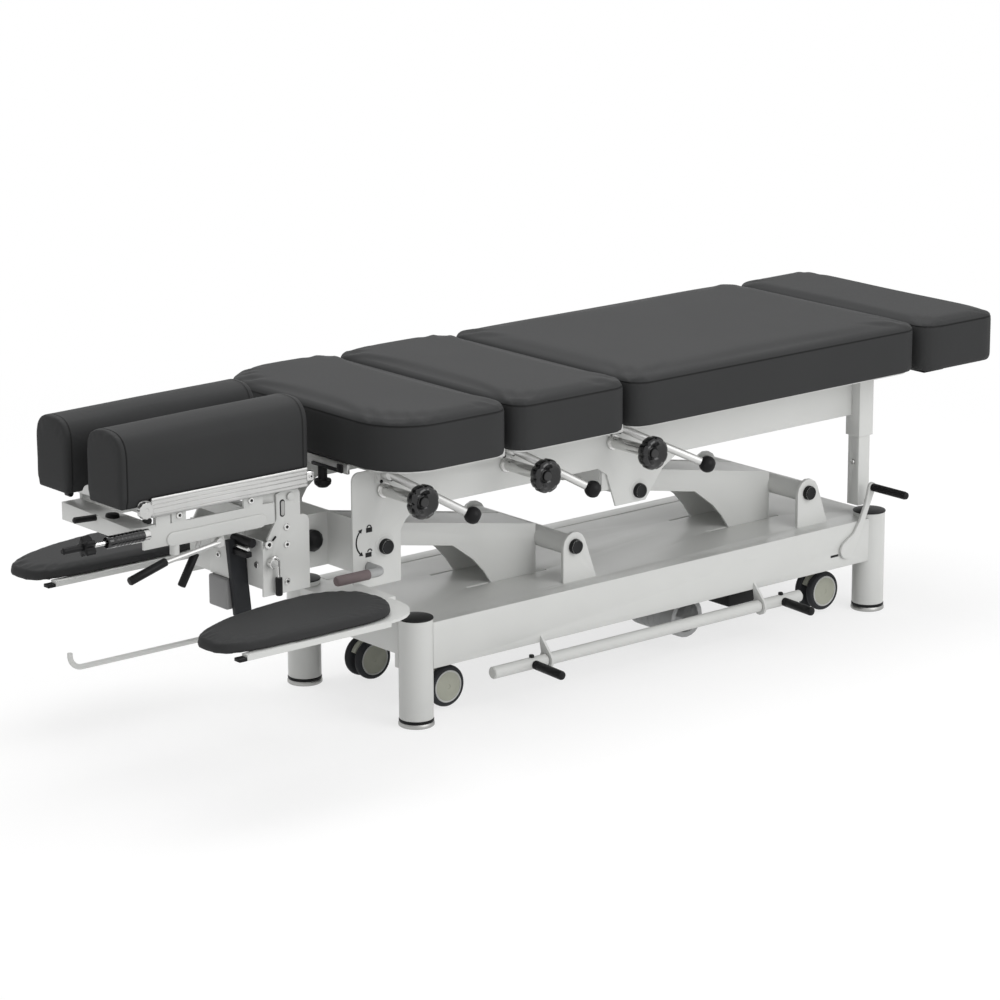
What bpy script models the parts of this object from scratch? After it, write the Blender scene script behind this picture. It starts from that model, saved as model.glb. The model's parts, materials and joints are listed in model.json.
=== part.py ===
"""Chiropractic drop table on a parallelogram lift, in metres, +Z up.

X runs from the head end to the foot end, the side with the knobs faces -Y, and Z = 0 is the floor.
Places are first given from the middle of the four legs, and a root empty then moves the whole table
so that the origin lies under the middle of its outer size.
"""

import math

import bmesh
import bpy
from mathutils import Matrix, Vector

# Fits and steps that all pieces share
touch_gap = 0.0003
weld = 0.001
overrun = 0.006
round_steps = 20
small_steps = 12
arc_steps = 6
bolt_head_height = 0.004
bolt_head_radius = 0.006

# Legs
leg_setback_x = 0.0235
leg_setback_y = 0.0225
leg_radius = 0.03175
leg_height = 0.202
leg_cap_radius = 0.033
leg_cap_rise = 0.006
leg_foot_radius = 0.0335
leg_foot_height = 0.014

# Tray, a folded sheet that stands on its rims like a lid
tray_length = 1.204
tray_overhang = 0.042
tray_top = 0.194
tray_sheet = 0.003
tray_side_low = 0.107
tray_end_low = 0.133
slot_clearance = 0.0013
slot_head_reach = 0.181
slot_foot_reach = 0.012

# Lift arms and their pivots
base_pivot_head_x = -0.184
base_pivot_foot_x = 0.424
base_pivot_z = 0.262
arm_run = 0.448
arm_rise = 0.081
arm_above = 0.024
arm_below = 0.018
arm_plate_y = 0.055
arm_plate = 0.005
arm_flange = 0.004
arm_end_inset = 0.016
arm_tube_radius = 0.0195
upper_tube_radius = 0.018
pivot_pin_radius = 0.008
pivot_hole_radius = 0.0083
pivot_cap_radius = 0.013
pivot_cap_height = 0.009
lobe_pin_run = 0.030
lobe_pin_drop = 0.138
lobe_pin_radius = 0.006
lobe_radius = 0.020
arch_run_share = (0.482, 0.373, 0.319, 0.277)
arch_drop_share = (-0.247, 0.198, 0.519, 0.852)

# Lugs that carry the base pivots
lug_overhang = 0.002
lug_plate = 0.007
lug_radius = 0.0275
lug_foot_reach = 0.054

# Actuator under the tray
actuator_tail_x = 0.190
actuator_tail_z = 0.110
clevis_plate = 0.004
clevis_inner_y = 0.030
clevis_half_width = 0.020
clevis_radius = 0.014
actuator_tube_radius = 0.023
actuator_bore_radius = 0.017
actuator_neck_radius = 0.0138
actuator_tube_start = 0.022
actuator_tube_reach = 0.290
actuator_floor = 0.010
actuator_eye_radius = 0.013
rod_radius = 0.009
rod_length = 0.345
rod_eye_radius = 0.013
rod_eye_width = 0.030
motor_radius = 0.040
motor_x = 0.104
motor_z = 0.067

# Control box under the tray
box_low_x = 0.215
box_length = 0.075
box_depth = 0.080
box_low_z = 0.065

# Top frame
frame_half_width = 0.150
frame_plate = 0.004
frame_head_x = -0.703
frame_foot_x = 0.543
frame_low = 0.401
frame_high = 0.4875
frame_corner = 0.015
gusset_low = 0.272
gusset_width = 0.108
gusset_blend = 0.035
mid_gusset_head_x = -0.080
mid_gusset_width = 0.075
mid_gusset_low = 0.321
mid_gusset_head_blend = 0.045
mid_gusset_foot_blend = 0.085
boss_ring_radius = 0.017
boss_ring_height = 0.002
web_sheet = 0.004
head_web_x = -0.690
head_web_low = 0.300
head_web_high = 0.400
mid_web_x = -0.116
mid_web_low = 0.330
mid_web_high = 0.470
foot_web_x = 0.524
foot_web_low = 0.440

# Foot-end post
post_offset_y = 0.003
post_width = 0.038
post_wall = 0.0035
post_low = 0.359
inner_post_wall = 0.0025
inner_post_low = 0.217
inner_post_high = 0.400
inner_post_cap = 0.004
button_z = 0.305
button_radius = 0.005
button_proud = 0.004
button_depth = 0.006

# Drop stations: clamp boss, tension knob and cocking lever
station_x = (-0.634, -0.350, -0.090)
station_names = ("thoracic", "lumbar", "pelvic")
lever_reach = (0.115, 0.115, 0.140)
boss_half_length = 0.018
boss_low = 0.462
boss_outer_reach = 0.008
boss_inner_reach = 0.004
lever_axis_z = 0.480
lever_shaft_radius = 0.006
lever_hole_radius = 0.0063
lever_hub_radius = 0.012
lever_hub_width = 0.0155
lever_bar_radius = 0.007
lever_bar_offset = 0.018
lever_ball_reach = 0.112
lever_ball_z = 0.403
lever_ball_radius = 0.016
cam_width = 0.007
shaft_z = 0.448
shaft_radius = 0.011
shaft_bore_radius = 0.0073
shaft_bore_depth = 0.034
shaft_reach = 0.112
knob_radius = 0.033
knob_lobe = 0.002
knob_lobes = 8
knob_thickness = 0.028
knob_stub_radius = 0.007
knob_stub = 0.030

# Cushions and the boards that carry them
cushion_bottom = 0.514
cushion_side = 0.083
cushion_half_width = 0.276
cushion_crown = 0.007
cushion_crown_share = (0.25, 0.55, 1.0)
cushion_draw_in = 0.0025
cushion_corner = 0.042
cushion_head_corner = 0.105
cushion_edge = 0.006
thoracic_low_x = -0.708
thoracic_length = 0.276
lumbar_low_x = -0.427
lumbar_length = 0.277
pelvic_low_x = -0.146
pelvic_length = 0.753
foot_low_x = 0.611
foot_length = 0.200
board_thickness = 0.0147
board_inset = 0.012
board_side_inset = 0.014
hinge_radius = 0.006
hinge_inset = 0.014
pelvic_hinge_x = 0.532

# Foot cushion slide
slide_rod_radius = 0.008
slide_hole_radius = 0.0083
slide_rod_y = 0.090
slide_rod_z = 0.466
slide_rod_low_x = 0.400
slide_block_low_x = 0.622
slide_block_length = 0.025
slide_block_half_width = 0.110
slide_block_low_z = 0.452

# Castors and their lift
castor_x = (-0.475, 0.493)
castor_inset = 0.082
castor_names = ("head", "foot")
wheel_radius = 0.0395
wheel_floor_gap = 0.003
wheel_half_width = 0.025
wheel_inner_y = 0.007
wheel_rim = 0.004
wheel_hub_radius = 0.007
fork_web_half = 0.005
fork_hole_radius = 0.0073
fork_trail = 0.014
fork_crown_radius = 0.020
fork_crown_low = 0.084
fork_crown_high = 0.0915
fork_boss_radius = 0.013
castor_bar_low = 0.0918
castor_bar_high = 0.112
castor_bar_half_length = 0.015
castor_bar_end_inset = 0.056
castor_link_inset = 0.077
castor_link_half_width = 0.012
castor_stem_radius = 0.006
castor_stem_hole = 0.0063
castor_stem_depth = 0.014
guide_pin_radius = 0.006
guide_bore_radius = 0.0063
guide_boss_radius = 0.011
guide_boss_low = 0.135
guide_pin_top = 0.180

# Castor-lift lever on the front rim
lift_lever_x = 0.490
lift_lever_z = 0.142
lift_lever_hub_radius = 0.024
lift_lever_plate = 0.007
lift_lever_top_x = 0.557
lift_lever_top_z = 0.260
lift_lever_top_radius = 0.010
lift_lever_shaft_radius = 0.008
lift_lever_hole_radius = 0.0083
lift_lever_shaft_depth = 0.012
lift_grip_radius = 0.008
lift_grip_length = 0.095

# Front foot bar
foot_bar_offset = 0.016
foot_bar_z = 0.077
foot_bar_radius = 0.010
foot_bar_hole_radius = 0.0103
foot_bar_low_x = -0.425
foot_bar_high_x = 0.350
foot_bar_hook_x = (-0.300, 0.243)
foot_bar_peg_x = (-0.325, 0.305)
foot_bar_peg_reach = 0.088
foot_bar_peg_drop = 0.0035
foot_bar_peg_radius = 0.0085
hook_plate = 0.005
hook_ring_radius = 0.018
hook_root_z = 0.122

# Rod at the head end
end_rod_y = 0.035
end_rod_z = 0.180
end_rod_radius = 0.005
end_rod_hole_radius = 0.0054
end_rod_tip_x = -1.140
end_rod_bend = 0.015
end_rod_tip_z = 0.209

# Head bracket on the top frame
bracket_y = 0.110
bracket_plate = 0.004
bracket_low_x = -0.873
bracket_length = 0.102
bracket_low_z = 0.284
bracket_high_z = 0.421
bracket_corner = 0.014
bracket_notch_z = 0.370
ear_low_x = -0.842
ear_high_x = -0.790
ear_high_z = 0.475
ear_cut_run = 0.021
ear_cut_drop = 0.009
bracket_cross_low_z = 0.298
bracket_cross_high_z = 0.385
carrier_y = 0.058
carrier_low_z = 0.300
carrier_high_z = 0.398
tilt_axis_x = -0.813
tilt_axis_z = 0.459
tilt_hole_radius = 0.0053
tilt_pin_radius = 0.005

# Head tilt frame
beam_outer_y = 0.118
beam_inner_y = 0.1125
beam_low_x = -1.113
beam_high_x = -0.850
beam_low_z = 0.417
beam_high_z = 0.455
spacer_low_x = -0.905
spacer_high_x = -0.882
spacer_low_z = 0.424
spacer_high_z = 0.452
arm_inner_y = 0.101
arm_outer_y = 0.1075
cross_member_low_x = -1.165
cross_member_low_z = 0.432
cross_member_high_z = 0.458
rail_seat_length = 0.030
rail_seat_inset = 0.012

# Head rails and head cushions
rail_low_x = -1.128
rail_high_x = -0.786
rail_inner_y = 0.108
rail_outer_y = 0.124
rail_low_z = 0.478
rail_high_z = 0.503
rail_groove = 0.002
head_board = 0.006
head_low_x = -1.176
head_high_x = -0.778
head_inner_y = 0.018
head_outer_y = 0.127
head_cushion_height = 0.1347
head_spring_height = 0.0767
head_edge_radius = 0.008
head_end_inset = 0.005
head_end_length = 0.010
head_arch_power = 0.72

# Head controls
knob_cone_x = -0.728
knob_cone_z = 0.352
knob_cone_radius = 0.020
knob_cone_length = 0.022
knob_cone_stub = 0.006
handle_x = -1.138
handle_z = 0.450
handle_y = -0.134
handle_radius = 0.010
handle_reach = 0.067
handle_shaft_radius = 0.005
handle_hole_radius = 0.0053
handle_shaft_depth = 0.012
star_gap = 0.018
star_radius = 0.015
star_lobe = 0.004
star_lobes = 5
star_thickness = 0.020
star_stem_radius = 0.004
star_hole_radius = 0.0043
star_stem_depth = 0.012
clamp_x = -0.858
clamp_z = 0.345
clamp_hub_radius = 0.009
clamp_hub_width = 0.014
clamp_shaft_radius = 0.004
clamp_hole_radius = 0.0043
clamp_rod_radius = 0.004
clamp_grip_radius = 0.0065
clamp_grip_top = 0.324
clamp_low_z = 0.284
release_x = -0.970
release_z = 0.403
release_y = -0.118
release_shaft_end_y = -0.052
release_shaft_radius = 0.005
release_hole_radius = 0.0053
release_hub_radius = 0.0085
release_hub_width = 0.008
release_rod_radius = 0.004
release_grip_radius = 0.0075
release_long_grip = (-1.091, 0.387)
release_long_tip = (-1.160, 0.367)
release_short_y = -0.060
release_short_grip = (-0.984, 0.368)
release_short_tip = (-1.013, 0.318)
release_lead_share = 0.06
release_tab_half_length = 0.014
release_tab_low_z = 0.393
column_width = 0.034
column_y = -0.060
column_thickness = 0.012
column_low_z = 0.243
column_foot_height = 0.065
column_foot_half_width = 0.024

# Pull handle on the near gusset
pull_x = -0.668
pull_z = 0.311
pull_offset = 0.020
pull_radius = 0.0085
pull_elbow_radius = 0.0089
pull_reach = 0.100
pull_hole_radius = 0.0088
pull_depth = 0.004

# Armrests
armrest_front_reach = 0.230
armrest_back_reach = 0.053
pad_low_x = -1.147
pad_length = 0.390
pad_width = 0.180
pad_top_z = 0.311
pad_thickness = 0.022
pad_crown = 0.003
pad_edge = 0.004
pad_along_share = (
    0.0, 0.03, 0.10, 0.20, 0.53, 0.87, 0.95, 0.99, 1.0, 0.96, 0.87, 0.76, 0.64, 0.50, 0.37, 0.22, 0.10, 0.03,
)
pad_across_share = (
    0.44, 0.24, 0.07, 0.0, 0.0, 0.0, 0.08, 0.28, 0.52, 0.76, 0.90, 0.965, 1.0, 0.98, 0.91, 0.78, 0.62, 0.52,
)
pad_spread_share = (0.97, 1.0, 1.0, 0.97, 0.80, 0.45)
swing_plate_sheet = 0.005
swing_end_radius = 0.086
swing_end_x = -0.800
swing_tail_x = -1.000
swing_edge_out = 0.004
armrest_rail_height = 0.012
armrest_rail_width = 0.016
armrest_rail_low_x = -1.105
armrest_rail_high_x = -0.800
armrest_pivot_x = -0.745
armrest_pivot_reach = 0.085
armrest_pin_radius = 0.006
armrest_hole_radius = 0.0063
armrest_ear_low_x = -0.765
armrest_ear_high_x = -0.690
armrest_ear_length = 0.105

# Sizes that follow from the ones above
tray_half_length = tray_length / 2
tray_half_width = frame_half_width + tray_overhang
leg_x = tray_half_length - leg_setback_x
leg_y = tray_half_width - leg_setback_y
upper_pivot_head_x = base_pivot_head_x - arm_run
upper_pivot_foot_x = base_pivot_foot_x - arm_run
upper_pivot_z = base_pivot_z + arm_rise
arm_length = math.hypot(arm_run, arm_rise)
arm_slope = arm_rise / arm_run
lug_face_y = frame_half_width + lug_overhang
lug_inner_y = lug_face_y - lug_plate
motor_near_y = -frame_half_width
box_near_y = -frame_half_width
frame_inner_y = frame_half_width - frame_plate
post_centre_y = -frame_half_width - post_offset_y
boss_outer_y = frame_half_width + boss_outer_reach
boss_inner_y = frame_inner_y - boss_inner_reach
lever_bar_start_y = -frame_half_width - lever_bar_offset
lever_ball_y = -frame_half_width - lever_ball_reach
shaft_end_y = -frame_half_width - shaft_reach
board_half_width = cushion_half_width - board_side_inset
castor_y = tray_half_width - castor_inset
castor_bar_half_width = tray_half_width - castor_bar_end_inset
castor_link_y = tray_half_width - castor_link_inset
foot_bar_y = -tray_half_width - foot_bar_offset
pull_y = -frame_half_width - pull_offset
cushion_seam_z = cushion_bottom + cushion_side
thoracic_high_x = thoracic_low_x + thoracic_length
lumbar_high_x = lumbar_low_x + lumbar_length
pelvic_high_x = pelvic_low_x + pelvic_length
foot_high_x = foot_low_x + foot_length
bracket_high_x = bracket_low_x + bracket_length
board_high = cushion_bottom - touch_gap
board_low = board_high - board_thickness
boss_high = board_low - touch_gap
hinge_z = frame_high + touch_gap + hinge_radius
wheel_z = wheel_radius + wheel_floor_gap
armrest_pad_low = pad_top_z - pad_thickness
swing_plate_high = armrest_pad_low - touch_gap
swing_plate_low = swing_plate_high - swing_plate_sheet
armrest_ear_high = swing_plate_low - touch_gap
armrest_front_edge_y = -frame_half_width - armrest_front_reach
armrest_back_edge_y = frame_half_width + armrest_back_reach
armrest_pivot_y = frame_half_width + armrest_pivot_reach
armrest_ear_end_y = frame_half_width + armrest_ear_length
head_bottom_z = rail_high_z + touch_gap
head_spring_z = head_bottom_z + head_spring_height
head_top_z = head_bottom_z + head_cushion_height
head_reach_x = handle_x - handle_reach - star_gap - star_thickness
foot_reach_x = foot_high_x
middle_x = (head_reach_x + foot_reach_x) / 2
column_high_x = bracket_low_x - touch_gap
column_low_x = column_high_x - column_width

# Colour, roughness and metallic value of each material
white_paint = ("white_paint", (0.78, 0.78, 0.75), 0.35, 0.0)
black_plastic = ("black_plastic", (0.02, 0.02, 0.022), 0.45, 0.0)
bright_steel = ("bright_steel", (0.62, 0.62, 0.60), 0.25, 1.0)
aluminium = ("aluminium", (0.74, 0.74, 0.73), 0.32, 1.0)
grey_paint = ("grey_paint", (0.45, 0.46, 0.46), 0.45, 0.0)
black_paint = ("black_paint", (0.03, 0.032, 0.035), 0.4, 0.0)
upholstery = ("upholstery", (0.045, 0.047, 0.049), 0.55, 0.0)
tyre_rubber = ("tyre_rubber", (0.04, 0.04, 0.04), 0.6, 0.0)
brown_grip = ("brown_grip", (0.32, 0.27, 0.26), 0.5, 0.0)


def box(low, high):
    """A block between two opposite corners."""
    shape = bmesh.new()
    size = Vector(high) - Vector(low)
    middle = (Vector(high) + Vector(low)) / 2
    matrix = Matrix.Translation(middle) @ Matrix.Diagonal((*size, 1))
    bmesh.ops.create_cube(shape, size=1, matrix=matrix)
    return shape


def rod(start, end, radius, steps=small_steps):
    """A round bar between two points."""
    shape = bmesh.new()
    run = Vector(end) - Vector(start)
    middle = (Vector(end) + Vector(start)) / 2
    matrix = Matrix.Translation(middle) @ run.to_track_quat("Z", "Y").to_matrix().to_4x4()
    bmesh.ops.create_cone(
        shape, cap_ends=True, segments=steps, radius1=radius, radius2=radius, depth=run.length, matrix=matrix
    )
    return shape


def ball(centre, radius, steps=small_steps):
    """A ball."""
    shape = bmesh.new()
    matrix = Matrix.Translation(centre)
    bmesh.ops.create_uvsphere(shape, u_segments=steps, v_segments=steps // 2, radius=radius, matrix=matrix)
    return shape


def turned(origin, axis, profile, steps=small_steps, closed=False):
    """Turn (distance along the axis, radius) pairs round an axis; a closed profile leaves a bore."""
    shape = bmesh.new()
    matrix = Matrix.Translation(origin) @ Vector(axis).to_track_quat("Z", "Y").to_matrix().to_4x4()
    rings = []
    for along, radius in profile:
        angles = [2 * math.pi * step / steps for step in range(steps)]
        points = [Vector((radius * math.cos(angle), radius * math.sin(angle), along)) for angle in angles]
        rings.append([shape.verts.new(matrix @ point) for point in points])
    pairs = list(zip(rings, rings[1:]))
    if closed:
        pairs.append((rings[-1], rings[0]))
    for lower, upper in pairs:
        for step in range(steps):
            after = (step + 1) % steps
            shape.faces.new((lower[step], lower[after], upper[after], upper[step]))
    if not closed:
        shape.faces.new(list(reversed(rings[0])))
        shape.faces.new(rings[-1])
    return shape


def layers(rings):
    """Skin a stack of point rings, with a flat face over the first and the last."""
    shape = bmesh.new()
    rows = [[shape.verts.new(point) for point in ring] for ring in rings]
    for lower, upper in zip(rows, rows[1:]):
        for step in range(len(lower)):
            after = (step + 1) % len(lower)
            shape.faces.new((lower[step], lower[after], upper[after], upper[step]))
    shape.faces.new(list(reversed(rows[0])))
    shape.faces.new(rows[-1])
    return shape


def plate(outline, across, low, high):
    """Extrude an outline along the axis named in across; its points use the other two axes in order."""
    places = {"x": (1, 2, 0), "y": (0, 2, 1), "z": (0, 1, 2)}[across]
    rings = []
    for level in (low, high):
        ring = []
        for first, second in outline:
            point = Vector()
            point[places[0]] = first
            point[places[1]] = second
            point[places[2]] = level
            ring.append(point)
        rings.append(ring)
    return layers(rings)


def arc(centre, radius, start, end, steps=arc_steps):
    """Points on an arc, in degrees, both ends kept."""
    angles = [math.radians(start + (end - start) * step / steps) for step in range(steps + 1)]
    return [(centre[0] + radius * math.cos(a), centre[1] + radius * math.sin(a)) for a in angles]


def temporary_object(shape):
    """Put a shape in the scene so that modifiers can use it."""
    bmesh.ops.recalc_face_normals(shape, faces=shape.faces)
    mesh = bpy.data.meshes.new("shape")
    shape.to_mesh(mesh)
    shape.free()
    holder = bpy.data.objects.new("shape", mesh)
    bpy.context.scene.collection.objects.link(holder)
    return holder


def combine(shapes, operation):
    """Join the shapes, or cut all but the first out of the first, with exact Booleans."""
    holders = [temporary_object(shape) for shape in shapes]
    for tool in holders[1:]:
        step = holders[0].modifiers.new("step", "BOOLEAN")
        step.operation = operation
        step.solver = "EXACT"
        step.object = tool
    graph = bpy.context.evaluated_depsgraph_get()
    mesh = bpy.data.meshes.new_from_object(holders[0].evaluated_get(graph))
    result = bmesh.new()
    result.from_mesh(mesh)
    for holder in holders:
        bpy.data.objects.remove(holder)
    bpy.data.meshes.remove(mesh)
    return result


def join(*shapes):
    return combine(shapes, "UNION")


def cut(*shapes):
    return combine(shapes, "DIFFERENCE")


def material_of(look):
    """The Principled material of a look, made once."""
    name, colour, roughness, metallic = look
    if name in bpy.data.materials:
        return bpy.data.materials[name]
    material = bpy.data.materials.new(name)
    material.use_nodes = True
    surface = material.node_tree.nodes["Principled BSDF"]
    surface.inputs["Base Color"].default_value = (*colour, 1)
    surface.inputs["Roughness"].default_value = roughness
    surface.inputs["Metallic"].default_value = metallic
    return material


def piece(name, shape, look, pivot=(0, 0, 0)):
    """Name a shape as one piece of the table, with its origin on its pivot and its own material."""
    bmesh.ops.recalc_face_normals(shape, faces=shape.faces)
    bmesh.ops.translate(shape, verts=shape.verts, vec=-Vector(pivot))
    mesh = bpy.data.meshes.new(name)
    shape.to_mesh(mesh)
    shape.free()
    mesh.materials.append(material_of(look))
    mesh.shade_smooth()
    mesh.set_sharp_from_angle(angle=math.radians(35))
    part = bpy.data.objects.new(name, mesh)
    part.location = pivot
    part.parent = table_root
    bpy.context.scene.collection.objects.link(part)


def start_scene():
    """Empty the scene and add the root that holds every piece."""
    for item in list(bpy.data.objects):
        bpy.data.objects.remove(item)
    root = bpy.data.objects.new("table_root", None)
    root.location = (-middle_x, 0, 0)
    bpy.context.scene.collection.objects.link(root)
    return root


def tray_outline(inset):
    """The tray from above: straight rims with a hollow corner round each leg."""
    half_x = tray_half_length - inset
    half_y = tray_half_width - inset
    radius = leg_radius + touch_gap + inset
    first = -math.degrees(math.acos((half_x - leg_x) / radius))
    last = math.degrees(math.asin((half_y - leg_y) / radius)) - 180
    corner = arc((leg_x, leg_y), radius, first, -180 - last - 180, steps=2 * arc_steps)
    outline = []
    for side_x, side_y in ((1, 1), (-1, 1), (-1, -1), (1, -1)):
        points = [(side_x * x, side_y * y) for x, y in corner]
        if side_x * side_y < 0:
            points.reverse()
        outline.extend(points)
    return outline


def lug_outline(pivot_x):
    """A lug from the side: upright head edge, round top, slanted foot edge."""
    drop = base_pivot_z - tray_top + weld
    reach = math.hypot(lug_foot_reach, drop)
    tangent = math.degrees(math.acos(lug_radius / reach) - math.atan2(drop, lug_foot_reach))
    round_top = arc((pivot_x, base_pivot_z), lug_radius, 180, tangent)
    root_z = base_pivot_z - drop
    return [(pivot_x - lug_radius, root_z), *round_top, (pivot_x + lug_foot_reach, root_z)]


def hook_outline():
    """A foot-bar hook from the end: a tongue from the rim down to a ring round the bar."""
    ring = arc((foot_bar_y, foot_bar_z), hook_ring_radius, 120, 400, steps=2 * arc_steps)
    root_y = -tray_half_width + weld
    return [*ring, (root_y, hook_root_z - hook_ring_radius), (root_y, hook_root_z)]


def make_tray():
    """The tray with arm slots, pivot lugs, actuator clevis, castor guides and foot-bar hooks."""
    outer = plate(tray_outline(0), "z", tray_side_low, tray_top)
    inner = plate(tray_outline(tray_sheet), "z", tray_side_low - overrun, tray_top - tray_sheet)
    tray = cut(outer, inner)
    end_half = leg_y - leg_radius
    for side in (-1, 1):
        near = side * (tray_half_length - tray_sheet - overrun)
        far = side * (tray_half_length + overrun)
        low = (min(near, far), -end_half, tray_side_low - overrun)
        high = (max(near, far), end_half, tray_end_low)
        tray = cut(tray, box(low, high))
    slot_half = arm_plate / 2 + slot_clearance
    parts = []
    for pivot_x in (base_pivot_head_x, base_pivot_foot_x):
        for side in (-1, 1):
            low = (pivot_x - slot_head_reach, side * arm_plate_y - slot_half, tray_top - tray_sheet - overrun)
            high = (pivot_x + slot_foot_reach, side * arm_plate_y + slot_half, tray_top + overrun)
            tray = cut(tray, box(low, high))
            faces = sorted((side * lug_inner_y, side * lug_face_y))
            lug = plate(lug_outline(pivot_x), "y", *faces)
            hole_start = (pivot_x, faces[0] - overrun, base_pivot_z)
            hole_end = (pivot_x, faces[1] + overrun, base_pivot_z)
            parts.append(cut(lug, rod(hole_start, hole_end, pivot_hole_radius)))
    for side in (-1, 1):
        faces = sorted((side * clevis_inner_y, side * (clevis_inner_y + clevis_plate)))
        tail = (actuator_tail_x, actuator_tail_z)
        low_arc = arc(tail, clevis_radius, 180, 360)
        top_z = tray_top - tray_sheet + weld
        outline = [(tail[0] - clevis_half_width, top_z), *low_arc, (tail[0] + clevis_half_width, top_z)]
        parts.append(plate(outline, "y", *faces))
    pin_end = clevis_inner_y + clevis_plate - weld
    pin_ends = ((actuator_tail_x, -pin_end, actuator_tail_z), (actuator_tail_x, pin_end, actuator_tail_z))
    parts.append(rod(*pin_ends, lobe_pin_radius))
    for hook_x in foot_bar_hook_x:
        hook = plate(hook_outline(), "x", hook_x - hook_plate / 2, hook_x + hook_plate / 2)
        hole_ends = ((hook_x - overrun, foot_bar_y, foot_bar_z), (hook_x + overrun, foot_bar_y, foot_bar_z))
        parts.append(cut(hook, rod(*hole_ends, foot_bar_hole_radius)))
    for bar_x in castor_x:
        for side in (-1, 1):
            guide = (bar_x + fork_trail, side * castor_link_y)
            profile = (
                (guide_boss_low, guide_boss_radius),
                (tray_top - weld, guide_boss_radius),
                (tray_top - weld, guide_bore_radius),
                (guide_boss_low, guide_bore_radius),
            )
            parts.append(turned((*guide, 0), (0, 0, 1), profile, closed=True))
    tray = join(tray, *parts)
    rim = -tray_half_width
    lever_hole = rod(
        (lift_lever_x, rim - overrun, lift_lever_z),
        (lift_lever_x, rim + tray_sheet + overrun, lift_lever_z),
        lift_lever_hole_radius,
    )
    rod_hole = rod(
        (-tray_half_length - overrun, end_rod_y, end_rod_z),
        (-tray_half_length + tray_sheet + overrun, end_rod_y, end_rod_z),
        end_rod_hole_radius,
    )
    piece("tray", cut(tray, lever_hole, rod_hole), white_paint)


def make_legs():
    """Four round legs with a wider foot ring and a domed cap."""
    top = leg_height + leg_cap_rise
    profile = (
        (0, leg_foot_radius),
        (leg_foot_height, leg_foot_radius),
        (leg_foot_height, leg_radius),
        (leg_height, leg_radius),
        (leg_height, leg_cap_radius - touch_gap),
        (leg_height + leg_cap_rise / 2, leg_radius),
        (top, leg_radius / 2),
    )
    for end, side_x in (("head", -1), ("foot", 1)):
        for side, side_y in (("front", -1), ("back", 1)):
            place = (side_x * leg_x, side_y * leg_y, 0)
            piece(f"leg_{end}_{side}", turned(place, (0, 0, 1), profile, round_steps), white_paint, place)


def arm_point(pivot_x, run, rise):
    """A point near a lift arm, from its base pivot toward the head end."""
    return (pivot_x - run, base_pivot_z + rise)


def arm_outline(pivot_x):
    """An arm plate from the side: slim bar, arch and the lobe that dips through the tray."""
    tilt = math.degrees(math.atan2(arm_rise, arm_run))
    stretch = arm_length / arm_run
    upper = arm_point(pivot_x, arm_run, arm_rise)
    lobe = arm_point(pivot_x, lobe_pin_run, -lobe_pin_drop)
    root = arm_point(pivot_x, arm_end_inset, arm_end_inset * arm_slope + arm_above * stretch)
    end_round = arc(upper, arm_above, 90 - tilt, 240 - tilt)
    under_run = arm_run - arm_above
    under = arm_point(pivot_x, under_run, under_run * arm_slope - arm_below * stretch)
    drop = base_pivot_z - tray_top
    arch = []
    for run_share, drop_share in zip(arch_run_share, arch_drop_share):
        arch.append(arm_point(pivot_x, run_share * arm_run, -drop_share * arm_rise))
    lobe_round = arc(lobe, lobe_radius, 180, 315)
    foot = arm_point(pivot_x, arm_end_inset, -drop)
    return [root, *end_round, under, *arch, *lobe_round, foot]


def make_lift_arm(name, pivot_x):
    """A lift arm: two plates, a top flange, both pivot tubes with their pins and caps, and the lobe pin."""
    outline = arm_outline(pivot_x)
    inner = arm_plate_y - arm_plate / 2
    outer = arm_plate_y + arm_plate / 2
    near = plate(outline, "y", -outer, -inner)
    far = plate(outline, "y", inner, outer)
    stretch = arm_length / arm_run
    top = arm_above * stretch - weld
    runs = (arm_end_inset + arm_flange, arm_run - arm_above)
    flange_outline = [arm_point(pivot_x, run, run * arm_slope + top) for run in runs]
    flange_outline += [arm_point(pivot_x, run, run * arm_slope + top - arm_flange) for run in reversed(runs)]
    flange = plate(flange_outline, "y", -outer + weld, outer - weld)
    shapes = [near, far, flange]
    base = (arm_point(pivot_x, 0, 0), lug_inner_y, lug_face_y, arm_tube_radius)
    upper_outer = frame_half_width + boss_ring_height
    upper = (arm_point(pivot_x, arm_run, arm_rise), frame_inner_y, upper_outer, upper_tube_radius)
    for (axis_x, axis_z), carrier_inner, carrier_outer, tube_radius in (base, upper):
        tube_end = carrier_inner - touch_gap
        cap_start = carrier_outer + touch_gap
        cap_end = cap_start + pivot_cap_height
        half = (
            (0, tube_radius),
            (tube_end, tube_radius),
            (tube_end, pivot_pin_radius),
            (cap_start, pivot_pin_radius),
            (cap_start, pivot_cap_radius),
            (cap_end, pivot_cap_radius),
        )
        profile = [(-along, radius) for along, radius in reversed(half[1:])] + list(half[1:])
        shapes.append(turned((axis_x, 0, axis_z), (0, 1, 0), profile, round_steps))
    lobe_x, lobe_z = arm_point(pivot_x, lobe_pin_run, -lobe_pin_drop)
    pin_end = inner + weld
    shapes.append(rod((lobe_x, -pin_end, lobe_z), (lobe_x, pin_end, lobe_z), lobe_pin_radius))
    piece(name, join(*shapes), white_paint, (pivot_x, 0, base_pivot_z))


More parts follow.
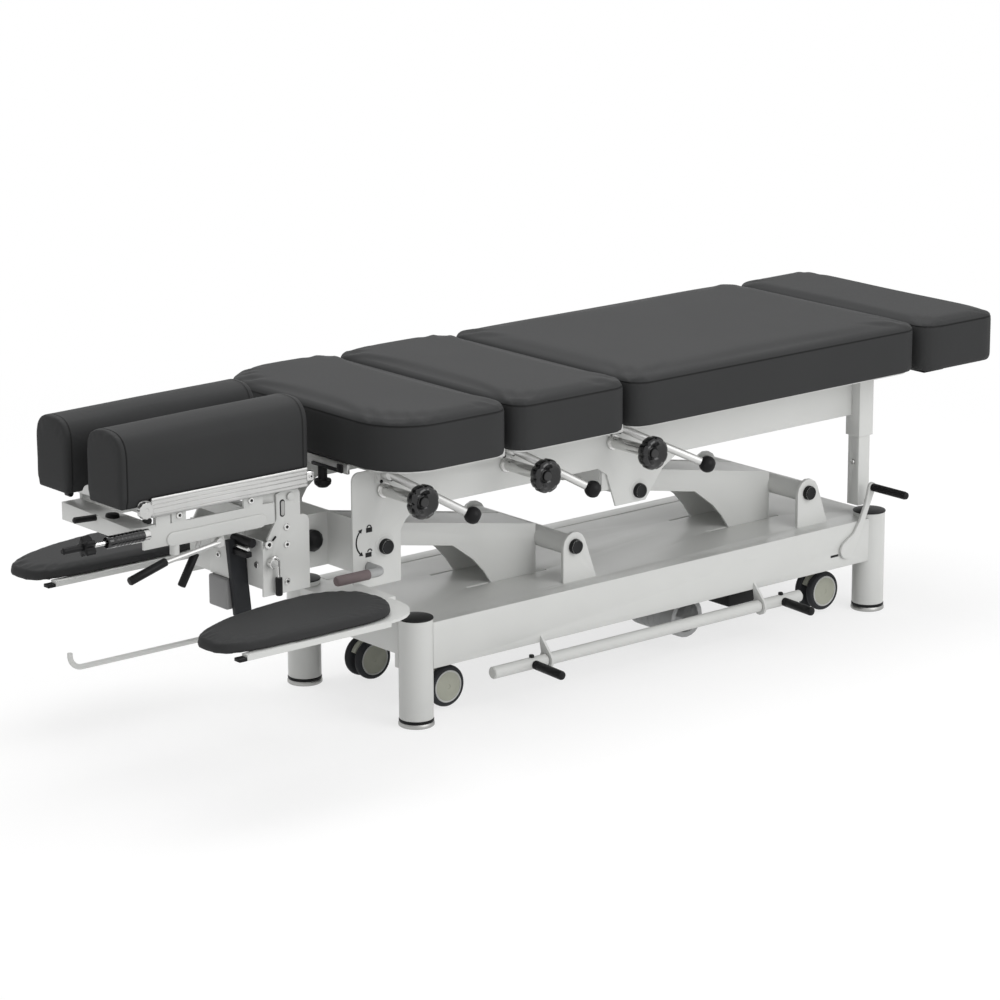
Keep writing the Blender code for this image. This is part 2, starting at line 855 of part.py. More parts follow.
def make_actuator():
    """The lift motor with its tube, hung from the clevis, and the rod that pushes the head arm's lobe."""
    tail = Vector((actuator_tail_x, 0, actuator_tail_z))
    lobe_x, lobe_z = arm_point(base_pivot_head_x, lobe_pin_run, -lobe_pin_drop)
    lobe = Vector((lobe_x, 0, lobe_z))
    along = (lobe - tail).normalized()
    tube_profile = (
        (actuator_tube_start, actuator_tube_radius),
        (actuator_tube_reach, actuator_tube_radius),
        (actuator_tube_reach, actuator_bore_radius),
        (actuator_tube_start + actuator_floor, actuator_bore_radius),
        (actuator_tube_start + actuator_floor, actuator_bore_radius / 2),
        (actuator_tube_start, actuator_bore_radius / 2),
    )
    tube = turned(tail, along, tube_profile, round_steps, closed=True)
    eye_half = clevis_inner_y - touch_gap
    eye = rod(tail - Vector((0, eye_half, 0)), tail + Vector((0, eye_half, 0)), actuator_eye_radius)
    neck_end = tail + along * (actuator_tube_start + actuator_floor / 2)
    neck = rod(tail, neck_end, actuator_neck_radius)
    gear_low = (motor_x - motor_radius, -actuator_tube_radius - overrun, motor_z - motor_radius / 2)
    gear_high = (motor_x + motor_radius / 2, -actuator_tube_radius + weld + overrun, actuator_tail_z)
    gearbox = box(gear_low, gear_high)
    motor_ends = ((motor_x, motor_near_y, motor_z), (motor_x, -actuator_tube_radius, motor_z))
    motor = rod(*motor_ends, motor_radius, round_steps)
    body = join(tube, neck, eye, gearbox, motor)
    pin_hole_end = eye_half + overrun
    pin_hole_radius = lobe_pin_radius + touch_gap
    hole = rod(tail - Vector((0, pin_hole_end, 0)), tail + Vector((0, pin_hole_end, 0)), pin_hole_radius)
    rod_path = rod(
        tail + along * (actuator_tube_start + actuator_floor), lobe, actuator_bore_radius, round_steps
    )
    piece("actuator_body", cut(body, hole, rod_path), grey_paint, tail)
    rod_tail = lobe - along * rod_length
    side = Vector((0, rod_eye_width / 2, 0))
    eye = rod(lobe - side, lobe + side, rod_eye_radius)
    pusher = join(rod(rod_tail, lobe, rod_radius), eye)
    hole = rod(lobe - 2 * side, lobe + 2 * side, pin_hole_radius)
    piece("actuator_rod", cut(pusher, hole), bright_steel, lobe)
    low = (box_low_x, box_near_y, box_low_z)
    high = (box_low_x + box_length, box_near_y + box_depth, tray_top - tray_sheet - touch_gap)
    piece("control_box", box(low, high), grey_paint)


def side_plate_outline():
    """A side plate: straight beam with a head gusset and a gusset at the foot arm's pivot."""
    head = frame_head_x
    gusset_x = head + gusset_width
    gusset_blend_high = frame_low - gusset_blend / 2
    mid_head = mid_gusset_head_x
    mid_foot = mid_gusset_head_x + mid_gusset_width
    corner = arc((head + frame_corner, frame_high - frame_corner), frame_corner, 180, 90)
    return [
        (head, gusset_low),
        *corner,
        (frame_foot_x - touch_gap, frame_high),
        (frame_foot_x - touch_gap, frame_low),
        (mid_foot + mid_gusset_foot_blend, frame_low),
        (mid_foot + mid_gusset_foot_blend / 2, (frame_low + mid_gusset_low) / 2 + frame_corner),
        (mid_foot, mid_gusset_low),
        (mid_head, mid_gusset_low),
        (mid_head - mid_gusset_head_blend / 2, frame_low - frame_corner),
        (mid_head - mid_gusset_head_blend, frame_low),
        (gusset_x + gusset_blend, frame_low),
        (gusset_x + gusset_blend / 3, gusset_blend_high),
        (gusset_x, frame_low - gusset_blend),
        (gusset_x, gusset_low),
    ]


def make_side_plate(name, side):
    """A side plate with pivot rings, an armrest ear and, at the front, the three drop stations."""
    faces = sorted((side * frame_inner_y, side * frame_half_width))
    shapes = [plate(side_plate_outline(), "y", *faces)]
    ring_faces = sorted((side * (frame_inner_y + weld), side * (frame_half_width + boss_ring_height)))
    for pivot_x in (upper_pivot_head_x, upper_pivot_foot_x):
        ends = ((pivot_x, ring_faces[0], upper_pivot_z), (pivot_x, ring_faces[1], upper_pivot_z))
        shapes.append(rod(*ends, boss_ring_radius, round_steps))
    ear_y = sorted((side * frame_inner_y, side * armrest_ear_end_y))
    ear_low = (armrest_ear_low_x, ear_y[0], gusset_low)
    shapes.append(box(ear_low, (armrest_ear_high_x, ear_y[1], armrest_ear_high)))
    pin_low = (armrest_pivot_x, side * armrest_pivot_y, gusset_low + weld)
    pin_high = (armrest_pivot_x, side * armrest_pivot_y, swing_plate_high - touch_gap)
    shapes.append(rod(pin_low, pin_high, armrest_pin_radius))
    for centre_x in station_x:
        boss_y = sorted((side * boss_inner_y, side * boss_outer_y))
        low = (centre_x - boss_half_length, boss_y[0], boss_low)
        shapes.append(box(low, (centre_x + boss_half_length, boss_y[1], boss_high)))
        if side < 0:
            shaft_start = (centre_x, -frame_inner_y, shaft_z)
            shapes.append(rod(shaft_start, (centre_x, shaft_end_y, shaft_z), shaft_radius))
    body = join(*shapes)
    holes = []
    for pivot_x in (upper_pivot_head_x, upper_pivot_foot_x):
        inner = side * (frame_inner_y - overrun)
        outer = side * (frame_half_width + boss_ring_height + overrun)
        holes.append(rod((pivot_x, inner, upper_pivot_z), (pivot_x, outer, upper_pivot_z), pivot_hole_radius))
    if side < 0:
        for centre_x in station_x:
            inner = (centre_x, -boss_inner_y + overrun, lever_axis_z)
            holes.append(rod(inner, (centre_x, -boss_outer_y - overrun, lever_axis_z), lever_hole_radius))
            bore_start = (centre_x, shaft_end_y + shaft_bore_depth, shaft_z)
            holes.append(rod(bore_start, (centre_x, shaft_end_y - overrun, shaft_z), shaft_bore_radius))
        inner = (pull_x, -frame_half_width + pull_depth + overrun, pull_z)
        holes.append(rod(inner, (pull_x, -frame_half_width - overrun, pull_z), pull_hole_radius))
    piece(name, cut(body, *holes), white_paint)


def make_cross_webs():
    """Sheets that tie the side plates together; the foot one guides the slide rods."""
    reach = frame_inner_y - touch_gap
    low = (mid_web_x, -reach, mid_web_low)
    piece("cross_web_mid", box(low, (mid_web_x + web_sheet, reach, mid_web_high)), white_paint)
    shapes = [box((foot_web_x, -reach, foot_web_low), (foot_web_x + web_sheet, reach, frame_high))]
    for side in (-1, 1):
        start = (foot_web_x - overrun, side * slide_rod_y, slide_rod_z)
        end = (foot_web_x + web_sheet + overrun, side * slide_rod_y, slide_rod_z)
        shapes.append(rod(start, end, slide_hole_radius))
    piece("cross_web_foot", cut(*shapes), white_paint)


def make_post():
    """The square telescopic post at the foot end with its spring button."""
    half = post_width / 2
    centre = (frame_foot_x + half, post_centre_y)
    outer = box(
        (centre[0] - half, centre[1] - half, post_low), (centre[0] + half, centre[1] + half, frame_high)
    )
    bore = half - post_wall
    hollow = box(
        (centre[0] - bore, centre[1] - bore, post_low - overrun),
        (centre[0] + bore, centre[1] + bore, frame_high + overrun),
    )
    piece("post_outer", cut(outer, hollow), white_paint)
    inner = bore - touch_gap
    bore = inner - inner_post_wall
    tube = box(
        (centre[0] - inner, centre[1] - inner, inner_post_low),
        (centre[0] + inner, centre[1] + inner, inner_post_high),
    )
    hollow = box(
        (centre[0] - bore, centre[1] - bore, inner_post_low + inner_post_cap),
        (centre[0] + bore, centre[1] + bore, inner_post_high + overrun),
    )
    face_x = centre[0] - inner
    hole = rod(
        (face_x - overrun, centre[1], button_z),
        (face_x + inner_post_wall + overrun, centre[1], button_z),
        button_radius + touch_gap,
    )
    piece("post_inner", cut(tube, hollow, hole), grey_paint, (centre[0], centre[1], inner_post_low))
    start = (face_x - button_proud, centre[1], button_z)
    button = rod(start, (face_x + button_depth, centre[1], button_z), button_radius)
    piece("post_button", button, bright_steel, start)


def knob_outline(centre, radius, lobe, lobes, steps_per_lobe=4):
    """A round outline with soft lobes."""
    points = []
    count = lobes * steps_per_lobe
    for step in range(count):
        angle = 2 * math.pi * step / count
        reach = radius + lobe * math.cos(lobes * angle)
        points.append((centre[0] + reach * math.cos(angle), centre[1] + reach * math.sin(angle)))
    return points


def make_drop_station(name, centre_x, reach):
    """The cocking lever with its cam and ball, and the lobed tension knob on its shaft."""
    outer = boss_outer_y + touch_gap
    inner = boss_inner_y - touch_gap
    profile = (
        (inner - cam_width, lever_hub_radius),
        (inner, lever_hub_radius),
        (inner, lever_shaft_radius),
        (outer, lever_shaft_radius),
        (outer, lever_hub_radius),
        (outer + lever_hub_width, lever_hub_radius),
    )
    hub = turned((centre_x, 0, lever_axis_z), (0, -1, 0), profile)
    tip = (centre_x + reach, lever_ball_y, lever_ball_z)
    bar = rod((centre_x, lever_bar_start_y, lever_axis_z), tip, lever_bar_radius)
    lever = join(hub, bar, ball(tip, lever_ball_radius))
    piece(f"cocking_lever_{name}", lever, bright_steel, (centre_x, 0, lever_axis_z))
    face = shaft_end_y - touch_gap
    outline = knob_outline((centre_x, shaft_z), knob_radius, knob_lobe, knob_lobes)
    wheel = plate(outline, "y", face - knob_thickness, face)
    stub = rod((centre_x, face - weld, shaft_z), (centre_x, face + knob_stub, shaft_z), knob_stub_radius)
    piece(f"tension_knob_{name}", join(wheel, stub), black_plastic, (centre_x, face, shaft_z))


def rounded_ring(low_x, high_x, half_y, inset, radii, level):
    """A rounded rectangle at one level, with its own radius at the head and foot corners."""
    points = []
    spots = (
        (high_x, 1, radii[1], 0),
        (low_x, 1, radii[0], 90),
        (low_x, -1, radii[0], 180),
        (high_x, -1, radii[1], 270),
    )
    for edge_x, side_y, radius, start in spots:
        sign_x = 1 if edge_x == high_x else -1
        bend = max(radius - inset, cushion_edge)
        centre = (edge_x - sign_x * (inset + bend), side_y * (half_y - inset - bend))
        points.extend(Vector((x, y, level)) for x, y in arc(centre, bend, start, start + 90, steps=4))
    return points


def cushion_shape(low_x, high_x, radii):
    """A cushion with drawn-in sides under a sewn edge and a crowned top."""
    limits = (low_x, high_x, cushion_half_width)
    rings = [
        rounded_ring(*limits, cushion_edge, radii, cushion_bottom),
        rounded_ring(*limits, cushion_draw_in / 2, radii, cushion_bottom + cushion_edge),
        rounded_ring(*limits, cushion_draw_in, radii, cushion_bottom + cushion_side / 2),
        rounded_ring(*limits, 0, radii, cushion_seam_z - cushion_edge / 2),
        rounded_ring(*limits, cushion_edge / 3, radii, cushion_seam_z),
    ]
    reach = min(high_x - low_x, 2 * cushion_half_width) / 2 - 2 * cushion_edge
    for share in cushion_crown_share:
        level = cushion_seam_z + cushion_crown * (1 - (1 - share) ** 2)
        rings.append(rounded_ring(*limits, share * reach, radii, level))
    return layers(rings)


def board_shape(low_x, high_x, hinge_x=None):
    """A board under a cushion, with a hinge barrel where it pivots."""
    low = (low_x + board_inset, -board_half_width, board_low)
    slab = box(low, (high_x - board_inset, board_half_width, board_high))
    if hinge_x is None:
        return slab
    barrel = rod((hinge_x, -frame_half_width, hinge_z), (hinge_x, frame_half_width, hinge_z), hinge_radius)
    return join(slab, barrel)


def make_sections():
    """The three drop sections, each a cushion on a hinged board."""
    plain = (cushion_corner, cushion_corner)
    head = (cushion_head_corner, cushion_corner)
    spans = (
        ("thoracic", thoracic_low_x, thoracic_high_x, head, thoracic_high_x - hinge_inset),
        ("lumbar", lumbar_low_x, lumbar_high_x, plain, lumbar_high_x - hinge_inset),
        ("pelvic", pelvic_low_x, pelvic_high_x, plain, pelvic_hinge_x),
    )
    for name, low_x, high_x, radii, hinge_x in spans:
        pivot = (hinge_x, 0, hinge_z)
        piece(f"board_{name}", board_shape(low_x, high_x, hinge_x), aluminium, pivot)
        piece(f"cushion_{name}", cushion_shape(low_x, high_x, radii), upholstery, pivot)


def make_foot_section():
    """The sliding foot cushion on its board, block and two slide rods."""
    board = board_shape(foot_low_x, foot_high_x)
    block_high_x = slide_block_low_x + slide_block_length
    low = (slide_block_low_x, -slide_block_half_width, slide_block_low_z)
    block = box(low, (block_high_x, slide_block_half_width, board_low + weld))
    shapes = [board, block]
    for side in (-1, 1):
        start = (slide_rod_low_x, side * slide_rod_y, slide_rod_z)
        end = (slide_block_low_x + weld, side * slide_rod_y, slide_rod_z)
        shapes.append(rod(start, end, slide_rod_radius))
    pivot = (foot_low_x, 0, board_low)
    piece("foot_slide_frame", join(*shapes), aluminium, pivot)
    corners = (cushion_corner, cushion_corner)
    piece("cushion_foot", cushion_shape(foot_low_x, foot_high_x, corners), upholstery, pivot)


def make_castors():
    """Four twin-wheel swivel castors and the bar frame that lowers them."""
    bars = []
    for wheel_x in castor_x:
        swivel_x = wheel_x + fork_trail
        low = (swivel_x - castor_bar_half_length, -castor_bar_half_width, castor_bar_low)
        bars.append(box(low, (swivel_x + castor_bar_half_length, castor_bar_half_width, castor_bar_high)))
    link_low = (castor_x[0] + fork_trail, castor_link_y - castor_link_half_width, castor_bar_low)
    link_high = (castor_x[1] + fork_trail, castor_link_y + castor_link_half_width, castor_bar_high)
    bars.append(box(link_low, link_high))
    for wheel_x in castor_x:
        for side in (-1, 1):
            guide = (wheel_x + fork_trail, side * castor_link_y)
            bars.append(rod((*guide, castor_bar_low + weld), (*guide, guide_pin_top), guide_pin_radius))
    holes = []
    for wheel_x, end in zip(castor_x, castor_names):
        for side, side_y in (("front", -1), ("back", 1)):
            swivel = (wheel_x + fork_trail, side_y * castor_y)
            stem_top = castor_bar_low + castor_stem_depth
            holes.append(rod((*swivel, castor_bar_low - overrun), (*swivel, stem_top), castor_stem_hole))
            axle = (wheel_x, side_y * castor_y, wheel_z)
            make_castor(f"{end}_{side}", swivel, axle, stem_top)
    piece("castor_lift_frame", cut(join(*bars), *holes), white_paint)


def make_castor(name, swivel, axle, stem_top):
    """One castor: crown, web and stem in one piece, and a pair of wheels on a shared hub."""
    crown = rod((*swivel, fork_crown_low), (*swivel, fork_crown_high), fork_crown_radius)
    stem = rod((*swivel, fork_crown_low + weld), (*swivel, stem_top - touch_gap), castor_stem_radius)
    boss = arc((axle[0], axle[2]), fork_boss_radius, 180, 360)
    crown_reach = fork_crown_radius / 2
    web_top = fork_crown_low + weld
    outline = [*boss, (swivel[0] + crown_reach, web_top), (swivel[0] - crown_reach, web_top)]
    web = plate(outline, "y", axle[1] - fork_web_half, axle[1] + fork_web_half)
    hole_side = Vector((0, fork_web_half + overrun, 0))
    hole = rod(Vector(axle) - hole_side, Vector(axle) + hole_side, fork_hole_radius)
    piece(f"castor_fork_{name}", cut(join(crown, stem, web), hole), grey_paint, (*swivel, fork_crown_high))
    half = (
        (wheel_inner_y, wheel_hub_radius),
        (wheel_inner_y, wheel_radius - wheel_rim),
        (wheel_inner_y + wheel_rim, wheel_radius),
        (wheel_half_width - wheel_rim, wheel_radius),
        (wheel_half_width, wheel_radius - wheel_rim),
    )
    profile = [(-along, radius) for along, radius in reversed(half)] + list(half)
    piece(f"castor_wheel_{name}", turned(axle, (0, 1, 0), profile, round_steps), tyre_rubber, axle)


def make_lift_lever():
    """The castor-lift lever on the front rim, with its shaft through the rim and its grip."""
    hub = (lift_lever_x, lift_lever_z)
    top = (lift_lever_top_x, lift_lever_top_z)
    lean = math.degrees(math.atan2(top[0] - hub[0], top[1] - hub[1]))
    low_round = arc(hub, lift_lever_hub_radius, 180 - lean, 360 - lean)
    high_round = arc(top, lift_lever_top_radius, -lean, 180 - lean)
    face = -tray_half_width - touch_gap
    arm = plate([*low_round, *high_round], "y", face - lift_lever_plate, face)
    shaft_end = (hub[0], -tray_half_width + tray_sheet + lift_lever_shaft_depth, hub[1])
    shaft = rod((hub[0], face - weld, hub[1]), shaft_end, lift_lever_shaft_radius)
    grip_end = (top[0], face - lift_lever_plate - lift_grip_length, top[1])
    grip = rod((top[0], face - weld, top[1]), grip_end, lift_grip_radius)
    piece("castor_lift_lever", join(arm, shaft, grip), white_paint, (hub[0], face, hub[1]))


def make_foot_bar():
    """The front foot bar with its two pegs."""
    bar_start = (foot_bar_low_x, foot_bar_y, foot_bar_z)
    shapes = [rod(bar_start, (foot_bar_high_x, foot_bar_y, foot_bar_z), foot_bar_radius)]
    for peg_x in foot_bar_peg_x:
        tip = (peg_x, foot_bar_y - foot_bar_peg_reach, foot_bar_z - foot_bar_peg_drop)
        shapes.append(rod((peg_x, foot_bar_y, foot_bar_z), tip, foot_bar_peg_radius))
    piece("front_foot_bar", join(*shapes), bright_steel, bar_start)


def make_end_rod():
    """The thin rod at the head end, bent up at its tip."""
    start_x = -tray_half_length + tray_sheet + overrun
    bend_x = end_rod_tip_x
    turn = arc((bend_x, end_rod_z + end_rod_bend), end_rod_bend, 270, 180)
    path = [Vector((start_x, end_rod_y, end_rod_z))]
    path += [Vector((x, end_rod_y, z)) for x, z in turn]
    path.append(Vector((bend_x - end_rod_bend, end_rod_y, end_rod_tip_z)))
    pivot = (-tray_half_length, end_rod_y, end_rod_z)
    piece("head_end_rod", swept(path, end_rod_radius), bright_steel, pivot)


def swept(path, radius, steps=small_steps):
    """A round bar that follows a path lying in a plane of constant Y."""
    rings = []
    across = Vector((0, 1, 0))
    for index, point in enumerate(path):
        before = path[max(index - 1, 0)]
        after = path[min(index + 1, len(path) - 1)]
        run = (after - before).normalized()
        up = run.cross(across)
        ring = []
        for step in range(steps):
            angle = 2 * math.pi * step / steps
            ring.append(point + radius * (math.cos(angle) * across + math.sin(angle) * up))
        rings.append(ring)
    return layers(rings)


def bracket_outline():
    """A head bracket plate: round foot-side corner, raised ear and a slanted head-side corner."""
    corner = arc((bracket_high_x - bracket_corner, bracket_high_z - bracket_corner), bracket_corner, 0, 90)
    ear_round = (ear_high_x - ear_low_x) / 3
    ear_corner = arc((ear_high_x - ear_round, ear_high_z - ear_round), ear_round, 0, 90)
    return [
        (bracket_low_x, bracket_low_z),
        (bracket_high_x, bracket_low_z),
        *corner,
        (ear_high_x, bracket_high_z),
        *ear_corner,
        (ear_low_x + ear_cut_run, ear_high_z),
        (ear_low_x, ear_high_z - ear_cut_drop),
        (ear_low_x, bracket_high_z),
        (bracket_low_x, bracket_notch_z),
    ]


def make_head_bracket():
    """The fixed head bracket: two outer plates, cross plates and a carrier channel welded to the head web."""
    outer = bracket_y + bracket_plate / 2
    inner = bracket_y - bracket_plate / 2
    shapes = []
    for side in (-1, 1):
        faces = sorted((side * inner, side * outer))
        shapes.append(plate(bracket_outline(), "y", *faces))
        carrier = sorted((side * (carrier_y - bracket_plate), side * carrier_y))
        low = (bracket_low_x + bracket_plate / 2, carrier[0], carrier_low_z)
        shapes.append(box(low, (head_web_x + weld, carrier[1], carrier_high_z)))
    for cross_x in (bracket_low_x, bracket_high_x - 2 * bracket_plate):
        low = (cross_x, -inner - weld, bracket_cross_low_z)
        shapes.append(box(low, (cross_x + bracket_plate, inner + weld, bracket_cross_high_z)))
    reach = frame_inner_y - touch_gap
    web_low = (head_web_x, -reach, head_web_low)
    shapes.append(box(web_low, (head_web_x + web_sheet, reach, head_web_high)))
    body = join(*shapes)
    holes = []
    for side in (-1, 1):
        near = side * (inner - overrun)
        far = side * (outer + overrun)
        holes.append(rod((tilt_axis_x, near, tilt_axis_z), (tilt_axis_x, far, tilt_axis_z), tilt_hole_radius))
    clamp_in = (clamp_x, -inner + overrun, clamp_z)
    holes.append(rod(clamp_in, (clamp_x, -outer - overrun, clamp_z), clamp_hole_radius))
    cone_in = (knob_cone_x, -carrier_y + bracket_plate + overrun, knob_cone_z)
    holes.append(rod(cone_in, (knob_cone_x, -carrier_y - overrun, knob_cone_z), clamp_hole_radius))
    piece("head_bracket", cut(body, *holes), white_paint)


def make_tilt_frame():
    """The head tilt frame: outer beams, cross members, hinge arms with pins, and rail seats."""
    shapes = []
    for side in (-1, 1):
        beam = sorted((side * beam_inner_y, side * beam_outer_y))
        shapes.append(box((beam_low_x, beam[0], beam_low_z), (beam_high_x, beam[1], beam_high_z)))
        arm = sorted((side * arm_inner_y, side * arm_outer_y))
        low = (spacer_low_x, arm[0], spacer_low_z)
        arm_high_z = tilt_axis_z + lever_hub_radius
        shapes.append(box(low, (tilt_axis_x + lever_hub_radius, arm[1], arm_high_z)))
        spacer = sorted((side * arm_inner_y, side * (beam_outer_y - weld)))
        shapes.append(box((spacer_low_x, spacer[0], spacer_low_z), (spacer_high_x, spacer[1], spacer_high_z)))
        bolt_start = bracket_y + bracket_plate / 2 + touch_gap
        profile = (
            (arm_outer_y - weld, tilt_pin_radius),
            (bolt_start, tilt_pin_radius),
            (bolt_start, bolt_head_radius + weld),
            (bolt_start + bolt_head_height, bolt_head_radius + weld),
        )
        shapes.append(turned((tilt_axis_x, 0, tilt_axis_z), (0, side, 0), profile))
        for seat_x in (beam_low_x + rail_seat_inset, spacer_low_x):
            seat_y = sorted((side * (rail_inner_y + weld), side * beam_outer_y))
            low = (seat_x, seat_y[0], beam_high_z - rail_seat_inset)
            shapes.append(box(low, (seat_x + rail_seat_length, seat_y[1], rail_low_z - touch_gap)))
    low = (spacer_low_x, -arm_inner_y - weld, spacer_low_z)
    shapes.append(box(low, (spacer_high_x, arm_inner_y + weld, spacer_high_z)))
    low = (cross_member_low_x, -beam_outer_y + weld, cross_member_low_z)
    cross_high_x = beam_low_x + rail_seat_inset
    shapes.append(box(low, (cross_high_x, beam_outer_y - weld, cross_member_high_z)))
    tab_low = (release_x - release_tab_half_length, -beam_inner_y - weld, release_tab_low_z)
    shapes.append(box(tab_low, (release_x + release_tab_half_length, -arm_inner_y, beam_low_z + weld)))
    body = join(*shapes)
    face = -beam_outer_y + weld
    handle_in = (handle_x, face + handle_shaft_depth + overrun, handle_z)
    handle_hole = rod(handle_in, (handle_x, face - overrun, handle_z), handle_hole_radius)
    release_in = (release_x, -arm_inner_y + overrun, release_z)
    release_hole = rod(release_in, (release_x, -beam_outer_y, release_z), release_hole_radius)
    piece("head_tilt_frame", cut(body, handle_hole, release_hole), white_paint, (tilt_axis_x, 0, tilt_axis_z))


def head_section(low_y, high_y, inset):
    """The head cushion's section: flat base, upright sides and a full arch, as (y, z) pairs."""
    half = (high_y - low_y) / 2 - inset
    middle = (high_y + low_y) / 2
    base = head_bottom_z + inset
    points = [
        (middle - half, base + head_edge_radius),
        (middle - half + head_edge_radius, base),
        (middle + half - head_edge_radius, base),
        (middle + half, base + head_edge_radius),
    ]
    arch = head_top_z - head_spring_z - inset
    steps = 2 * arc_steps
    for step in range(steps + 1):
        angle = math.pi * step / steps
        side = math.copysign(abs(math.cos(angle)) ** head_arch_power, math.cos(angle))
        points.append((middle + half * side, head_spring_z + arch * math.sin(angle) ** head_arch_power))
    return points


def make_head_rests():
    """Two head cushions, each on a board edged with a grooved rail."""
    for name, side in (("front", -1), ("back", 1)):
        low_y, high_y = sorted((side * head_inner_y, side * head_outer_y))
        stations = (
            (head_low_x, head_end_inset),
            (head_low_x + head_end_length, 0),
            ((head_low_x + head_high_x) / 2, 0),
            (head_high_x - head_end_length, 0),
            (head_high_x, head_end_inset),
        )
        rings = []
        for station, inset in stations:
            rings.append([Vector((station, y, z)) for y, z in head_section(low_y, high_y, inset)])
        pivot = (rail_low_x, side * rail_outer_y, rail_low_z)
        piece(f"head_cushion_{name}", layers(rings), upholstery, pivot)
        rail_y = sorted((side * rail_inner_y, side * rail_outer_y))
        board_y = sorted((side * (head_inner_y + head_board), side * (rail_outer_y - weld)))
        rail = box((rail_low_x, rail_y[0], rail_low_z), (rail_high_x, rail_y[1], rail_high_z))
        low = (rail_low_x, board_y[0], rail_high_z - head_board)
        board = box(low, (rail_high_x, board_y[1], rail_high_z))
        middle_z = (rail_low_z + rail_high_z) / 2
        groove_y = sorted((side * (rail_outer_y - rail_groove), side * (rail_outer_y + overrun)))
        groove = box(
            (rail_low_x - overrun, groove_y[0], middle_z - rail_groove),
            (rail_high_x + overrun, groove_y[1], middle_z + rail_groove),
        )
        piece(f"head_rail_{name}", cut(join(rail, board), groove), aluminium, pivot)


def make_head_controls():
    """The head section's handle, star knob, clamp lever, column and carrier knob."""
    face = -beam_outer_y + weld
    stub_start = (handle_x, face + handle_shaft_depth, handle_z)
    stub = rod(stub_start, (handle_x, handle_y, handle_z), handle_shaft_radius)
    grip_end = (handle_x - handle_reach, handle_y, handle_z)
    grip = rod((handle_x + handle_radius, handle_y, handle_z), grip_end, handle_radius)
    bore_in = (handle_x - handle_reach + star_stem_depth + touch_gap, handle_y, handle_z)
    bore = rod(bore_in, (grip_end[0] - overrun, handle_y, handle_z), star_hole_radius)
    piece("head_handle", cut(join(stub, grip), bore), black_plastic, (handle_x, face, handle_z))
    star_face = handle_x - handle_reach - star_gap
    outline = knob_outline((handle_y, handle_z), star_radius, star_lobe, star_lobes)
    star = plate(outline, "x", star_face - star_thickness, star_face)
    stem_end = (handle_x - handle_reach + star_stem_depth, handle_y, handle_z)
    stem = rod((star_face - weld, handle_y, handle_z), stem_end, star_stem_radius)
    piece("head_star_knob", join(star, stem), black_plastic, (star_face, handle_y, handle_z))

    plate_face = bracket_y + bracket_plate / 2 + touch_gap
    inner_face = bracket_y - bracket_plate / 2 - touch_gap
    profile = (
        (inner_face - clamp_hub_width / 2, clamp_hub_radius),
        (inner_face, clamp_hub_radius),
        (inner_face, clamp_shaft_radius),
        (plate_face, clamp_shaft_radius),
        (plate_face, clamp_hub_radius),
        (plate_face + clamp_hub_width, clamp_hub_radius),
    )
    hub = turned((clamp_x, 0, clamp_z), (0, -1, 0), profile)
    clamp_y = -plate_face - clamp_hub_width / 2
    stalk = rod((clamp_x, clamp_y, clamp_z), (clamp_x, clamp_y, clamp_low_z + weld), clamp_rod_radius)
    grip = rod((clamp_x, clamp_y, clamp_grip_top), (clamp_x, clamp_y, clamp_low_z), clamp_grip_radius)
    clamp = join(hub, stalk, grip)
    piece("head_clamp_lever", clamp, bright_steel, (clamp_x, clamp_y, clamp_z))

    column_y_low = column_y - column_thickness / 2
    column_y_high = column_y + column_thickness / 2
    bar = box(
        (column_low_x, column_y_low, column_low_z), (column_high_x, column_y_high, bracket_cross_high_z)
    )
    foot_high_z = column_low_z + column_foot_height
    foot = box(
        (column_low_x + weld, column_y, column_low_z + weld),
        (column_high_x - weld, column_y + 2 * column_foot_half_width, foot_high_z),
    )
    piece("head_column", join(bar, foot), black_paint)

    cone_face = -carrier_y - touch_gap
    profile = (
        (0, knob_cone_radius),
        (knob_cone_length / 2, knob_cone_radius),
        (knob_cone_length, knob_cone_radius / 2),
    )
    cone = turned((knob_cone_x, cone_face, knob_cone_z), (0, -1, 0), profile, 2 * arc_steps)
    stub_end = (knob_cone_x, cone_face + knob_cone_stub, knob_cone_z)
    stub = rod((knob_cone_x, cone_face - weld, knob_cone_z), stub_end, clamp_shaft_radius)
    piece("carrier_knob", join(cone, stub), black_plastic, (knob_cone_x, cone_face, knob_cone_z))


def make_release_lever():
    """The head release: one shaft under the front beam with a long and a short gripped arm."""
    hub_start = (release_x, release_y - release_hub_width / 2, release_z)
    hub_end = (release_x, release_y + release_hub_width / 2, release_z)
    shapes = [rod(hub_start, hub_end, release_hub_radius)]
    shaft_end = (release_x, release_shaft_end_y, release_z)
    shapes.append(rod((release_x, release_y, release_z), shaft_end, release_shaft_radius))
    arms = (
        (release_y, release_long_grip, release_long_tip),
        (release_short_y, release_short_grip, release_short_tip),
    )
    for arm_y, (grip_x, grip_z), (tip_x, tip_z) in arms:
        shapes.append(rod((release_x, arm_y, release_z), (grip_x, arm_y, grip_z), release_rod_radius))
        lead_x = grip_x + (grip_x - tip_x) * release_lead_share
        lead_z = grip_z + (grip_z - tip_z) * release_lead_share
        shapes.append(rod((lead_x, arm_y, lead_z), (tip_x, arm_y, tip_z), release_grip_radius))
    piece("head_release_lever", join(*shapes), bright_steel, (release_x, 0, release_z))


def make_pull_handle():
    """The bent pull handle on the front gusset."""
    face = -frame_half_width
    root = rod((pull_x, face + pull_depth, pull_z), (pull_x, pull_y - pull_radius / 2, pull_z), pull_radius)
    grip = rod((pull_x, pull_y, pull_z), (pull_x - pull_reach, pull_y, pull_z), pull_radius)
    elbow = ball((pull_x, pull_y, pull_z), pull_elbow_radius)
    piece("pull_handle", join(root, grip, elbow), brown_grip, (pull_x, face, pull_z))


